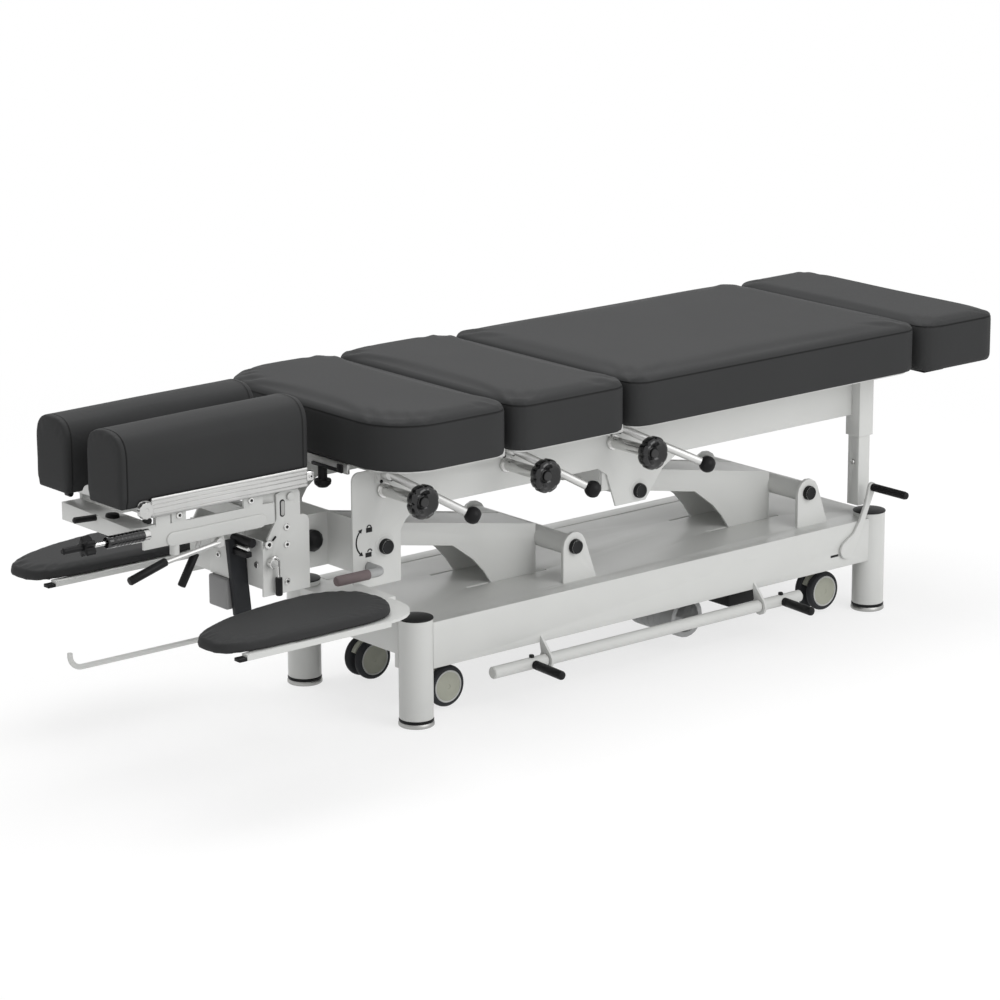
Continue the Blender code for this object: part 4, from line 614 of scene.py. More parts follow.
# Head-end rod
# A thin painted rod runs out of the head rim and is bent up at its tip.
def swept(path, radius, steps=20):
    """A round bar along a path, made by carrying its end face from point to point."""
    shape = bmesh.new()
    directions = []
    for index in range(len(path)):
        before = path[max(index - 1, 0)]
        after = path[min(index + 1, len(path) - 1)]
        directions.append((after - before).normalized())
    tilt = directions[0].to_track_quat("Z", "Y")
    place = Matrix.Translation(path[0]) @ tilt.to_matrix().to_4x4()
    bmesh.ops.create_circle(shape, cap_ends=True, segments=steps, radius=radius, matrix=place)
    front = shape.faces[:]
    for index in range(1, len(path)):
        tilt = directions[index - 1].rotation_difference(directions[index]) @ tilt
        after_place = Matrix.Translation(path[index]) @ tilt.to_matrix().to_4x4()
        grown = bmesh.ops.extrude_face_region(shape, geom=front)["geom"]
        if index > 1:
            bmesh.ops.delete(shape, geom=front, context="FACES_ONLY")
        ends = [item for item in grown if isinstance(item, bmesh.types.BMVert)]
        front = [item for item in grown if isinstance(item, bmesh.types.BMFace)]
        bmesh.ops.transform(shape, matrix=after_place @ place.inverted(), verts=ends)
        place = after_place
    bmesh.ops.recalc_face_normals(shape, faces=shape.faces)
    return shape


rod_at = joint_at["end_rod_pivot"]
low, high = box_of("head_end_rod")
rod_radius = 0.005
bend_radius = 0.024
tip_x = low.x - 0.026
rod_path = [Vector((high.x, rod_at.y, rod_at.z))]
for along, height in bow((tip_x + bend_radius, rod_at.z + bend_radius), bend_radius, 270, 180, 10):
    rod_path.append(Vector((along, rod_at.y, height)))
rod_path.append(Vector((tip_x, rod_at.y, high.z)))
made("end_rod", swept(rod_path, rod_radius), white_coat, "end_rod", ["head_end_rod"])

# Top frame
# Two cut side plates carry the boards and levers, webs tie them, and a square post slides at the foot end.
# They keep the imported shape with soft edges, but for the arched middle web; each pivot has a pressed ring.
for frame_node in ("side_plate_front", "side_plate_back", "cross_web_foot", "post_outer"):
    made(frame_node + "_sheet", copied(frame_node, 0.0006), white_coat, "top_frame", [frame_node])
low, high = box_of("cross_web_mid")
web_arch = ((0, 0.385), (0.3, 0.383), (0.6, 0.375), (0.85, 0.364), (1, 0.354))
web_edge = [(share * high.y, height) for share, height in web_arch]
web_outline = [(-y, z) for y, z in reversed(web_edge[1:])] + web_edge + [(high.y, high.z), (low.y, high.z)]
web_shapes = [plate(web_outline, "x", low.x, high.x)]
near_x, far_x = low.x + 0.001, low.x + 0.026
for flange_y in (low.y, high.y - 0.004):
    flange_outline = [(near_x, 0.3545), (far_x, 0.3545), (far_x, high.z), (near_x, high.z)]
    web_shapes.append(plate(flange_outline, "y", flange_y, flange_y + 0.004))
made("cross_web_mid_sheet", together(*web_shapes), white_coat, "top_frame", ["cross_web_mid"])
made("post_inner_tube", copied("post_inner", 0.001), white_coat, "post", ["post_inner"])
made("post_button_pin", copied("post_button", 0.0012), chrome, "button", ["post_button"])
plate_face = box_of("side_plate_back")[0].y + 0.008
ring_profile = (
    (-0.0005, 0.0148), (-0.0005, 0.0225), (0.0004, 0.0218), (0.0012, 0.02), (0.0012, 0.016),
    (0.0006, 0.0148), (-0.0005, 0.0148),
)
for index, top_pin in enumerate((joint_at["frame_pivot"], joint_at["foot_arm_pivot"] + arm_run)):
    for side in (-1, 1):
        ring = spun(ring_profile, (top_pin.x, side * plate_face, top_pin.z), (0, side, 0))
        made(f"pivot_ring_{index}_{side + 1}", ring, white_coat, "top_frame")


# Station hardware
# Each clamp boss has two small black screws, and each knob's shaft has a plated collar and sleeve.
# They are turned pieces seated in the boss's outer face and on the side plate.
def screw(place, outward, radius, height, coat, name, body):
    """A cap screw with a round recess and a black six-sided piece at its bottom, painted shade for the
    socket's depth.
    """
    rim = (
        (-0.001, 0), (-0.001, radius), (height * 0.7, radius), (height, radius * 0.86),
        (height, radius * 0.5), (height * 0.35, radius * 0.45), (height * 0.35, 0),
    )
    made(name, spun(rim, place, outward, 24), coat, body)
    outward = Vector(outward)
    # A black six-sided piece at the bottom of the recess is painted shade for the socket's depth.
    start = Vector(place) + outward * height * 0.36
    socket = tube(start, start + outward * height * 0.1, radius * 0.44, 0.00005, 6)
    made(name + "_socket_shade", socket, black_plastic, body)


collar_outline = (
    (0, 0.0105), (0, 0.0142), (0.0012, 0.015), (0.005, 0.015), (0.0062, 0.0142), (0.0062, 0.0105),
    (0, 0.0105),
)
shaft_outline = ((0, 0.0105), (0, 0.0113), (0.105, 0.0113), (0.105, 0.0105), (0, 0.0105))
stations = ("thoracic", "lumbar", "pelvic")
for station in stations:
    knob_at = joint_at["tension_" + station]
    axis_at = joint_at["cock_" + station]
    for index, (run, rise) in enumerate(((-0.01, -0.014), (0.0125, -0.0145))):
        spot = (axis_at.x + run, -plate_face - 0.008, axis_at.z + rise)
        screw(spot, (0, -1, 0), 0.0032, 0.0022, cap_plastic, f"boss_screw_{station}_{index}", "top_frame")
    collar = spun(collar_outline, (knob_at.x, -plate_face - 0.0003, knob_at.z), (0, -1, 0))
    made(f"shaft_collar_{station}", collar, chrome, "top_frame")
    sleeve = spun(shaft_outline, (knob_at.x, -plate_face, knob_at.z), (0, -1, 0))
    made(f"shaft_sleeve_{station}", sleeve, chrome, "top_frame")

# Gusset signs
# A curved double arrow between a shut and an open padlock is printed in black above the pull handle.
signs = []


def sign(outline):
    """Add one printed shape to the signs."""
    signs.append(plate(outline, "y", -plate_face - 0.0004, -plate_face + 0.0002, 0))


arc_at = (home_x - 0.667, 0.3583)
sign(bow(arc_at, 0.0302, 137, 226, 14) + bow(arc_at, 0.0272, 226, 137, 14))
for turn, sense in ((137, -1), (226, 1)):
    tip = bow(arc_at, 0.0287, turn + sense * 16, 0, 1)[0]
    left, right = (bow(arc_at, radius, turn, 0, 1)[0] for radius in (0.024, 0.0334))
    sign([left, tip, right])
for lock_x, lock_z, lift in ((home_x - 0.6665, 0.3795, 0.0), (home_x - 0.6685, 0.334, 0.003)):
    low_z, high_z = lock_z - 0.0052, lock_z + 0.0034
    left, right = lock_x - 0.0068, lock_x + 0.0068
    sign([(left, low_z), (right, low_z), (right, high_z), (left, high_z)])
    shackle_at = (lock_x + lift, high_z + lift * 0.4)
    sign(bow(shackle_at, 0.0056, 0, 180, 10) + bow(shackle_at, 0.0034, 180, 0, 10))
made("gusset_signs", together(*signs), cap_plastic, "top_frame")


# Tension knobs
# Glossy black moulded knobs with eight soft lobes, a dished face and a round hub in the middle.
# The turned shape is notched round its rim to form the lobes.
def waved(shape, middle, across, start, fade, wave):
    """Push a turned shape's points out from its axis by a wave round it, which fades in from a radius on."""
    for point in shape.verts:
        out = Vector((point.co[across] - middle[across], point.co.z - middle.z))
        share = min(max((out.length - start) / fade, 0), 1)
        if share:
            out *= 1 + share * wave(math.atan2(out.y, out.x)) / out.length
            point.co[across], point.co.z = middle[across] + out.x, middle.z + out.y


glossy_black = moulding("glossy_black", (0.0045, 0.0045, 0.005), 0.1, 0.003, "black", 0.3)
glossy_black.wear(Coat_Weight=0.5, Coat_Roughness=0.06)
knob_lobes = 8
knob_profile = (
    (-0.03, 0), (-0.03, 0.0062), (-0.029, 0.007), (-0.0004, 0.007), (0, 0.018), (0.0008, 0.025),
    (0.003, 0.0295), (0.006, 0.0312), (0.016, 0.0316), (0.019, 0.0308), (0.0225, 0.0285), (0.0246, 0.0258),
    (0.025, 0.024), (0.0242, 0.0226), (0.019, 0.018), (0.014, 0.0125), (0.0132, 0.011), (0.014, 0.01),
    (0.0186, 0.0092), (0.0196, 0.0082), (0.0198, 0.006), (0.0194, 0),
)
for station in stations:
    knob_at = joint_at["tension_" + station]
    knob = spun(knob_profile, knob_at + Vector((0, 0.01, 0)), (0, -1, 0), 96)
    waved(knob, knob_at, 0, 0.022, 0.009, lambda turn: -0.0024 * max(math.cos(knob_lobes * turn), 0) ** 3)
    knob_node = "tension_knob_" + station
    made(knob_node + "_grip", knob, glossy_black, "knob_" + station, [knob_node])

# Cocking levers
# A satin-plated bar runs out of each clamp boss to a black ball, and turns a cam under the board.
# The hub's two ends clamp the boss between them.
satin_steel = bare_metal("satin_plating", "steel", (0.7, 0.7, 0.69), 0.42, 0.0015)
cam_reach = plate_face - 0.012
hub_outline = (
    (cam_reach - 0.0077, 0), (cam_reach - 0.0077, 0.0112), (cam_reach - 0.007, 0.012),
    (cam_reach - 0.0006, 0.012), (cam_reach - 0.0003, 0.006), (0.1583, 0.006), (0.1583, 0.0112),
    (0.159, 0.012), (0.1712, 0.012), (0.1736, 0.0104), (0.1738, 0),
)
ball_radius = 0.016
ball_turns = [math.radians(step) for step in range(-56, 57, 8)]
ball_outline = [(-0.0135, 0), (-0.0135, 0.0085)]
ball_outline += [(ball_radius * math.sin(turn), ball_radius * math.cos(turn)) for turn in ball_turns]
ball_outline += [(0.0137, 0.007), (0.0137, 0)]
for station in stations:
    lever_node = "cocking_lever_" + station
    axis_at = joint_at["cock_" + station]
    low, high = box_of(lever_node)
    tip = Vector((high.x - ball_radius, low.y + ball_radius, low.z + ball_radius))
    root = Vector((axis_at.x, -0.166, axis_at.z))
    run = (tip - root).normalized()
    hub = spun(hub_outline, (axis_at.x, 0, axis_at.z), (0, -1, 0), 32)
    bar = tube(root, tip - run * 0.01, 0.0076)
    made(lever_node + "_bar", together(hub, bar), satin_steel, "lever_" + station, [lever_node])
    made(lever_node + "_ball", spun(ball_outline, tip, run, 40), black_plastic, "lever_" + station)

# Boards and the foot slide
# Aluminium boards with round corners stiffen the cushions; the foot board rides on a block with two rods.
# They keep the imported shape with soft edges; a black tab is bolted under the foot board.
aluminium = bare_metal("drawn_aluminium", "aluminium", (0.62, 0.62, 0.61), 0.3, 0.0012, (30, 1, 1))
for station in stations:
    board_node = "board_" + station
    board = copied(board_node, 0)
    low, high = box_of(board_node)
    for end_x, radius in ((low.x, 0.092 if station == "thoracic" else 0.031), (high.x, 0.031)):
        corners = [
            edge for edge in board.edges
            if all(abs(tip.co.x - end_x) < 0.002 and abs(tip.co.y) > high.y - 0.002 for tip in edge.verts)
            and abs(edge.verts[0].co.z - edge.verts[1].co.z) > 0.002
        ]
        rounded_edges(board, corners, radius, 12)
    made(board_node + "_sheet", soften(board, 0.0008), aluminium, "section_" + station, [board_node])
made("foot_slide_board", copied("foot_slide_frame", 0.0008), aluminium, "foot_section", ["foot_slide_frame"])
low, high = box_of("cushion_foot")
tab = block(low + Vector((0.02, 0.016, -0.0225)), low + Vector((0.074, 0.06, -0.014)))
made("foot_board_tab", tab, black_plastic, "foot_section")


# Main cushions
# Four firm charcoal leather pads: a flat top that wraps over a soft rim to a sewn seam, and a plain band.
# A short cloth simulation puffs each one between its seam and its board; the seam is pressed in after.
def leather_coat(name, axis, seams):
    """Fine-grained synthetic leather, with painted shade along the sewn seams that cross an axis at the given
    places.
    """
    coat = Coat(name, "leather")
    cells = {"Vector": coat.place, "Scale": 950}
    grain = coat.add("ShaderNodeTexVoronoi", {"feature": "DISTANCE_TO_EDGE"}, cells)
    folds = coat.noise(0.0032, 3)
    tone = coat.between(coat.noise(0.14, 2), (0.03, 0.0305, 0.031), (0.035, 0.0355, 0.036))
    along = coat.add("ShaderNodeSeparateXYZ", None, (coat.place,), axis)
    # Each seam gets a near-black band in the colour: painted shade for its pressed-in groove.
    for seam in seams:
        aside = coat.add("ShaderNodeMath", {"operation": "ABSOLUTE"}, (along - seam,))
        seam_shade_band = (aside, 0.0006, 0.0028, 0.6, 0.0)
        line = coat.add("ShaderNodeMapRange", {"interpolation_type": "SMOOTHSTEP"}, seam_shade_band)
        tone = coat.between(line, tone, (0.008, 0.008, 0.008))
    coat.wear(
        Base_Color=tone,
        Roughness=0.58 + 0.1 * folds,
        Specular_IOR_Level=0.12,
        Normal=coat.relief(grain * 0.7 + folds * 0.5, 0.00022, 0.4),
    )
    return coat


seam_half = 0.0016
seam_depth = 0.0022
cushion_seam = box_of("cushion_pelvic")[1].z - 0.018
# The charcoal leather carries painted shade along the seam.
leather = leather_coat("charcoal_leather", "Z", (cushion_seam,))
fabric_frames = 20
fabric = {
    "quality": 4, "mass": 0.3, "tension_stiffness": 14, "compression_stiffness": 14, "shear_stiffness": 6,
    "bending_stiffness": 0.6, "use_pressure": True, "uniform_pressure_force": 4.0,
    "vertex_group_mass": "held",
}


def rounded(low, high, radii, steps=8):
    """A rectangle's outline seen from above, with its own corner radius at the head and foot ends."""
    points = []
    for along, across, radius, start in (
        (high[0], high[1], radii[1], 0), (low[0], high[1], radii[0], 90), (low[0], low[1], radii[0], 180),
        (high[0], low[1], radii[1], 270),
    ):
        sign_x = 1 if along == high[0] else -1
        sign_y = 1 if across == high[1] else -1
        points += bow((along - sign_x * radius, across - sign_y * radius), radius, start, start + 90, steps)
    return points


def rim_rounded(shape, level, width, segments):
    """Round the edges of a shape that lie flat at a level."""
    rounded_edges(shape, [
        edge for edge in shape.edges
        if all(abs(point.co.z - level) < 0.0001 for point in edge.verts)
        and edge.calc_face_angle(0) > edge_angle
    ], width, segments)


def settled(item):
    """The mesh of an object after its modifiers; the object goes."""
    graph = bpy.context.evaluated_depsgraph_get()
    mesh = bpy.data.meshes.new_from_object(item.evaluated_get(graph))
    bpy.data.objects.remove(item)
    return mesh


def upholstered(node, shape, cell, body, held, caps, coat, cut_planes=()):
    """Puff a closed shape like a stuffed cover, press its seams in and turn it into a finished piece.

    held tells which points stay, and caps are the largest moves along X, Y and Z.
    Each cut plane is (place, normal).
    """
    bmesh.ops.recalc_face_normals(shape, faces=shape.faces)
    mesh = bpy.data.meshes.new(node)
    shape.to_mesh(mesh)
    shape.free()
    cover = shown(node + "_even", mesh)
    remesh = cover.modifiers.new("even_mesh", "REMESH")
    remesh.mode = "VOXEL"
    remesh.voxel_size = cell
    even = settled(cover)
    cover = shown(node + "_cloth", even)
    group = cover.vertex_groups.new(name="held")
    group.add([point.index for point in even.vertices if held(point.co)], 1.0, "REPLACE")
    cloth = cover.modifiers.new("stuffing", "CLOTH")
    for key, value in fabric.items():
        setattr(cloth.settings, key, value)
    cloth.settings.effector_weights.gravity = 0
    cloth.point_cache.frame_start = 1
    cloth.point_cache.frame_end = fabric_frames
    for step in range(1, fabric_frames + 1):
        bpy.context.scene.frame_set(step)
    rests = [point.co.copy() for point in even.vertices]
    even = settled(cover)
    for point, rest in zip(even.vertices, rests):
        moved = point.co - rest
        point.co = rest + Vector([cap * math.tanh(part / cap) for part, cap in zip(moved, caps)])
    bpy.context.scene.frame_set(1)
    cover = shown(node + "_smooth", even)
    cover.modifiers.new("finer", "SUBSURF").levels = 1
    shape = bmesh.new()
    shape.from_mesh(settled(cover))
    for place, normal in cut_planes:
        normal = Vector(normal)
        place = Vector(place)
        for shift in (-seam_half, 0, seam_half):
            whole = shape.verts[:] + shape.edges[:] + shape.faces[:]
            cut_at = place + normal * shift
            bmesh.ops.bisect_plane(shape, geom=whole, dist=0.00002, plane_co=cut_at, plane_no=normal)
        shape.normal_update()
        line = [point for point in shape.verts if abs((point.co - place).dot(normal)) < 0.00003]
        moves = [(point, point.normal - normal * point.normal.dot(normal)) for point in line]
        for point, way in moves:
            point.co -= way * seam_depth
    item = made(node + "_cover", shape, coat, body, [node], math.radians(180))


wrap_drop = 0.0115
end_radius = 0.042
for cushion in (*stations, "foot"):
    low, high = box_of("cushion_" + cushion)
    low += Vector((0.0016, 0.0016, -wrap_drop))
    if cushion == "foot":
        low += Vector((0, -0.008, -0.005))
        high += Vector((0.01, -0.002, -0.004))
    high -= Vector((0.0016, 0.0016, 0.0034))
    head_radius = 0.105 if cushion == "thoracic" else end_radius
    outline = rounded(low, high, [radius - 0.0016 for radius in (head_radius, end_radius)])
    cover = plate(outline, "z", low.z, high.z, 0)
    rim_rounded(cover, high.z, 0.0135, 6)
    rim_rounded(cover, low.z, 0.005, 3)

    def cushion_held(point, low_z=low.z):
        return point.z < low_z + 0.006 or abs(point.z - cushion_seam) < 0.0035

    upholstered(
        "cushion_" + cushion, cover, 0.007 if cushion == "pelvic" else 0.006,
        "foot_section" if cushion == "foot" else "section_" + cushion, cushion_held,
        (0.0016, 0.0016, 0.0036), leather, [((0, 0, cushion_seam), (0, 0, 1))],
    )

# Head bracket
# Two plates with raised ears carry the head section; a carrier channel joins them to the side plates' web.
# Cap screws, a black pill painted as shade for the slot of the near ear, a catch bar with its strip and the
# column's mount are set on it.
made("head_bracket_sheet", copied("head_bracket", 0.0006), white_coat, "top_frame", ["head_bracket"])
bracket_face = 0.112
for side in (-1, 1):
    for index, screw_z in enumerate((0.404, 0.372, 0.304)):
        spot = at(-0.821, side * bracket_face, screw_z)
        screw(spot, (0, side, 0), 0.0062, 0.0028, chrome, f"bracket_screw_{side + 1}_{index}", "top_frame")


def pill(start, end, radius, raised):
    """A flat shape with two round ends on a face that looks to the knob side, slightly raised from it."""
    outward = Vector((0, -1, 0))
    run = (end - start).normalized()
    shape = bmesh.new()
    rim = []
    for centre_at, first in ((end, -90), (start, 90)):
        for step in range(13):
            turn = math.radians(first + 15 * step)
            spot = centre_at + run * math.cos(turn) * radius + outward.cross(run) * math.sin(turn) * radius
            rim.append(shape.verts.new(spot - outward * 0.001))
    grown = bmesh.ops.extrude_face_region(shape, geom=[shape.faces.new(rim)])["geom"]
    tops = [item for item in grown if isinstance(item, bmesh.types.BMVert)]
    bmesh.ops.translate(shape, verts=tops, vec=outward * (0.001 + raised))
    bmesh.ops.recalc_face_normals(shape, faces=shape.faces)
    return shape


# A black pill on the ear's face is painted shade for its slot, with a steel pin standing in it.
ear_slot_shade = pill(at(-0.829, -bracket_face, 0.429), at(-0.829, -bracket_face, 0.45), 0.0054, 0.0004)
made("ear_slot_shade", ear_slot_shade, cap_plastic, "top_frame")
ear_pin = pill(at(-0.829, -bracket_face, 0.43), at(-0.829, -bracket_face, 0.449), 0.0038, 0.0016)
made("ear_pin", ear_pin, steel, "top_frame")
catch_bar = together(
    tube(at(-0.891, -0.1075, 0.3848), at(-0.891, -0.05, 0.3848), 0.0085, 0.001),
    block(at(-0.905, -0.1075, 0.36), at(-0.893, -0.056, 0.37), 0.0015, 3),
    block(at(-0.905, -0.012, 0.374), at(-0.888, 0.02, 0.39), 0.003, 3),
)
made("catch_bar", catch_bar, black_plastic, "top_frame")
catch_strip = tube(at(-0.9, -0.1075, 0.375), at(-0.9, -0.054, 0.375), 0.0034)
made("catch_strip", catch_strip, chrome, "top_frame")
screw(at(-0.873, -0.094, 0.34), (-1, 0, 0), 0.0062, 0.003, chrome, "catch_screw", "top_frame")
mount = block(at(-0.905, -0.0535, 0.3115), at(-0.8735, 0.005, 0.384), 0.0012)
made("column_mount", mount, white_coat, "top_frame")
screw(at(-0.905, -0.024, 0.35), (-1, 0, 0), 0.0062, 0.003, chrome, "column_mount_screw", "top_frame")

# Thoracic rim
# An aluminium strip closes the head end of the thoracic board, over a black catch and a rubber bumper.
# They drop together with the board.
rim_strip = block(at(-0.7045, -0.138, 0.484), at(-0.6985, 0.138, 0.503), 0.0008)
made("thoracic_rim", rim_strip, aluminium, "section_thoracic")
catch = together(
    block(at(-0.708, -0.124, 0.4845), at(-0.7035, -0.036, 0.4905)),
    block(at(-0.7085, -0.126, 0.4845), at(-0.7035, -0.112, 0.5)),
)
made("thoracic_catch", catch, black_plastic, "section_thoracic")
bumper = (
    (0, 0), (0, 0.0085), (0.024, 0.0085), (0.0245, 0.015), (0.028, 0.016), (0.033, 0.015), (0.0385, 0.009),
    (0.04, 0),
)
bumper = spun(bumper, at(-0.7005, -0.06, 0.485), (0, 0, -1), 32)
made("thoracic_bumper", bumper, cap_plastic, "section_thoracic")

# Head tilt frame
# Beams, a cross member and hinge arms tip as one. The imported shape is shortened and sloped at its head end.
# The front beam has a raised cap, a peg and two bolted tabs; the cross member has a lever and a button.
tilt_frame = copied("head_tilt_frame", 0.0007)
for point in tilt_frame.verts:
    if point.co.x < home_x - 1.158:
        point.co.x += 0.014
        if point.co.y > 0.1:
            point.co.y -= 0.018
            point.co.z += 0.006 if point.co.z > 0.445 else 0
    elif home_x - 1.118 < point.co.x < home_x - 1.108 and point.co.y < -0.108:
        point.co.x -= 0.014
made("tilt_frame_sheet", tilt_frame, white_coat, "head_tilt", ["head_tilt_frame"])
lever_end = tube(at(-1.147, -0.006, 0.4565), at(-1.196, -0.006, 0.459), 0.0056, 0.0024)
made("cross_member_lever", lever_end, black_plastic, "head_tilt")
button = ((-0.001, 0), (-0.001, 0.0122), (0.004, 0.0126), (0.0066, 0.011), (0.0074, 0.006), (0.0074, 0))
button = spun(button, at(-1.13, -0.028, 0.458), (0, 0, 1), 32)
made("cross_member_button", button, black_plastic, "head_tilt")
beam_cap = pill(at(-1.068, -0.118, 0.427), at(-0.882, -0.118, 0.427), 0.0125, 0.0032)
made("beam_cap", soften(beam_cap, 0.0024, 4), white_coat, "head_tilt")
made("beam_peg", tube(at(-1.06, -0.112, 0.418), at(-1.06, -0.112, 0.397), 0.0085), white_coat, "head_tilt")
for index, tab_x in enumerate((-1.053, -0.901)):
    tab = block(at(tab_x - 0.015, -0.1178, 0.4545), at(tab_x + 0.015, -0.1128, 0.4772), 0.0008)
    made(f"rail_tab_{index}", tab, white_coat, "head_tilt")
    spot = at(tab_x, -0.1178, 0.467)
    screw(spot, (0, -1, 0), 0.0062, 0.003, chrome, f"rail_tab_screw_{index}", "head_tilt")

# Head rails
# Grooved aluminium extrusions edge the boards under the head cushions.
# Each is an extruded section, with a fluted nut at its head end and a plated clamp at its foot end.
nut_outline = (
    (0, 0), (0, 0.0135), (0.0008, 0.0145), (0.0092, 0.0145), (0.01, 0.0135), (0.01, 0.005),
    (0.0092, 0.0042), (0.0092, 0),
)
for side_name, side in (("front", -1), ("back", 1)):
    rail_node = "head_rail_" + side_name
    rail_body = "head_rest_" + side_name
    low, high = box_of(rail_node)
    inner, outer = sorted((abs(low.y), abs(high.y)))
    outer += 0.006
    rail_low = low.z - 0.003
    lip_z = high.z + 0.0065
    section = [(inner, rail_low), (outer - 0.0012, rail_low), (outer, rail_low + 0.0012)]
    for groove_z in (0.006, 0.015, 0.022, 0.029):
        base = rail_low + groove_z
        section += [(outer, base), (outer - 0.0012, base + 0.0004), (outer - 0.0012, base + 0.001)]
        section.append((outer, base + 0.0014))
    section += [(outer, lip_z - 0.0008), (outer - 0.0008, lip_z), (outer - 0.0026, lip_z)]
    section += [(outer - 0.0026, high.z), (inner, high.z)]
    rail = plate([(side * y, z) for y, z in section], "x", low.x + 0.012, high.x, 0.00025, 1)
    board_y = sorted((side * (inner + 0.0004), side * 0.024))
    board = block((low.x, board_y[0], high.z - 0.004), (high.x, board_y[1], high.z), 0.0006)
    made(rail_node + "_extrusion", together(rail, board), aluminium, rail_body, [rail_node])
    nut_at = Vector((low.x - 0.003, side * (outer - 0.004), low.z + 0.013))
    nut = spun(nut_outline, nut_at, (0, side, 0), 72)
    waved(nut, nut_at, 0, 0.012, 0.000001, lambda turn: 0.0006 * math.cos(12 * turn))
    made(rail_node + "_nut", nut, aluminium, rail_body)
    bolt_y = sorted((side * (outer - 0.016), side * (outer - 0.002)))
    bolt = [(nut_at.x + 0.01, y, rail_low - 0.005) for y in bolt_y]
    made(rail_node + "_bolt", tube(*bolt, 0.0058), black_plastic, rail_body)
    clamp_y = sorted((side * (outer - 0.006), side * (outer + 0.0022)))
    clamp_low = (high.x - 0.002, clamp_y[0], low.z + 0.007)
    clamp = block(clamp_low, (high.x + 0.013, clamp_y[1], high.z - 0.001), 0.0016, 3)
    made(rail_node + "_clamp", clamp, chrome, rail_body)
    clamp_face = (high.x + 0.0055, side * (outer + 0.002), low.z + 0.0155)
    screw(clamp_face, (0, side, 0), 0.0042, 0.0026, chrome, rail_node + "_screw", rail_body)

# Head cushions
# Two narrow arched pads side by side, with a seam round the arch a finger's width from each end.
# Each sinks a little towards the head end, where its cover wraps down over the board.
arch_foot = 0.58
arch_power = 0.72
for side_name in ("front", "back"):
    pad_node = "head_cushion_" + side_name
    low, high = box_of(pad_node)
    low += Vector((0.0012, 0.0012, 0.0003))
    high -= Vector((0.0012, 0.0012, 0.0024))
    if side_name == "back":
        low += Vector((-0.009, 0.01, 0))
    half = (high.y - low.y) / 2
    middle = (high.y + low.y) / 2
    outline = [(middle - half, low.z + 0.006), (middle - half + 0.006, low.z)]
    outline += [(middle + half - 0.006, low.z), (middle + half, low.z + 0.006)]
    for step in range(49):
        turn = math.pi * step / 48
        aside = math.copysign(abs(math.cos(turn)) ** arch_power, math.cos(turn))
        rise = (high.z - arch_foot) * math.sin(turn) ** arch_power
        outline.append((middle + half * aside, arch_foot + rise))
    cover = plate(outline, "x", low.x, high.x, 0.009, 4)
    for point in cover.verts:
        rise = max(point.co.z - low.z - 0.03, 0) / (high.z - low.z)
        point.co.z -= rise * (0.005 + 0.006 * (high.x - point.co.x) / (high.x - low.x))
    skirt_low = low + Vector((0.001, 0.003, -0.0085))
    skirt = block(skirt_low, (low.x + 0.038, high.y - 0.003, low.z + 0.02), 0.003, 3)
    seams = (low.x + 0.0125, high.x - 0.0125)
    # Its leather carries painted shade along both seams.
    pad_leather = leather_coat(f"head_leather_{side_name}", "X", seams)

    def pad_held(point, seams=seams, low_z=low.z):
        return point.z < low_z + 0.005 or min(abs(point.x - seam) for seam in seams) < 0.0024

    upholstered(
        pad_node, together(cover, skirt), 0.004, "head_rest_" + side_name, pad_held, (0.0012, 0.0012, 0.0024),
        pad_leather, [((seam, 0, 0), (1, 0, 0)) for seam in seams],
    )

# Head handle and star knob
# A ribbed black grip on a plated bar stands off the front beam, and a star knob with a tail screws into it.
# Both are turned, and the star's five arms are pushed out of a round blank.
low, high = box_of("head_handle")
grip_y = low.y + 0.01
grip_z = joint_at["head_handle_turn"].z
made("head_handle_stub", copied("head_handle", 0.0006), chrome, "head_handle", ["head_handle"])
grip = [(0.001, 0.0094), (0.001, 0.01), (0.003, 0.0108)]
for ring in range(8):
    along = 0.006 + ring * 0.0074
    grip += [(along, 0.0108), (along + 0.0008, 0.0103), (along + 0.0022, 0.0103), (along + 0.003, 0.0108)]
grip += [(0.0745, 0.0108), (0.076, 0.01), (0.076, 0.0094), (0.001, 0.0094)]
sleeve = spun(grip, (high.x - 0.0105, grip_y, grip_z), (-1, 0, 0), 40)
made("head_handle_sleeve", sleeve, glossy_black, "head_handle")
low, high = box_of("head_star_knob")
star_profile = (
    (0, 0), (0, 0.0125), (0.002, 0.015), (0.0175, 0.015), (0.02, 0.013), (0.02, 0.008), (0.019, 0.007),
    (0.019, 0),
)
star_at = Vector((low.x - 0.02, grip_y, grip_z))
star = spun(star_profile, star_at, (1, 0, 0), 80)
waved(star, star_at, 1, 0.009, 0.005, lambda turn: 0.004 * math.cos(5 * turn))
stem = tube(star_at + Vector((0.018, 0, 0)), (high.x, grip_y, grip_z), 0.004)
tail = tube(star_at + Vector((0.004, 0, 0)), star_at - Vector((0.04, 0, 0)), 0.0062, 0.0024)
made("head_star_tail", tail, black_plastic, "star_knob")
made("head_star_grip", star, black_plastic, "star_knob", ["head_star_knob"])
made("head_star_stem", stem, chrome, "star_knob")

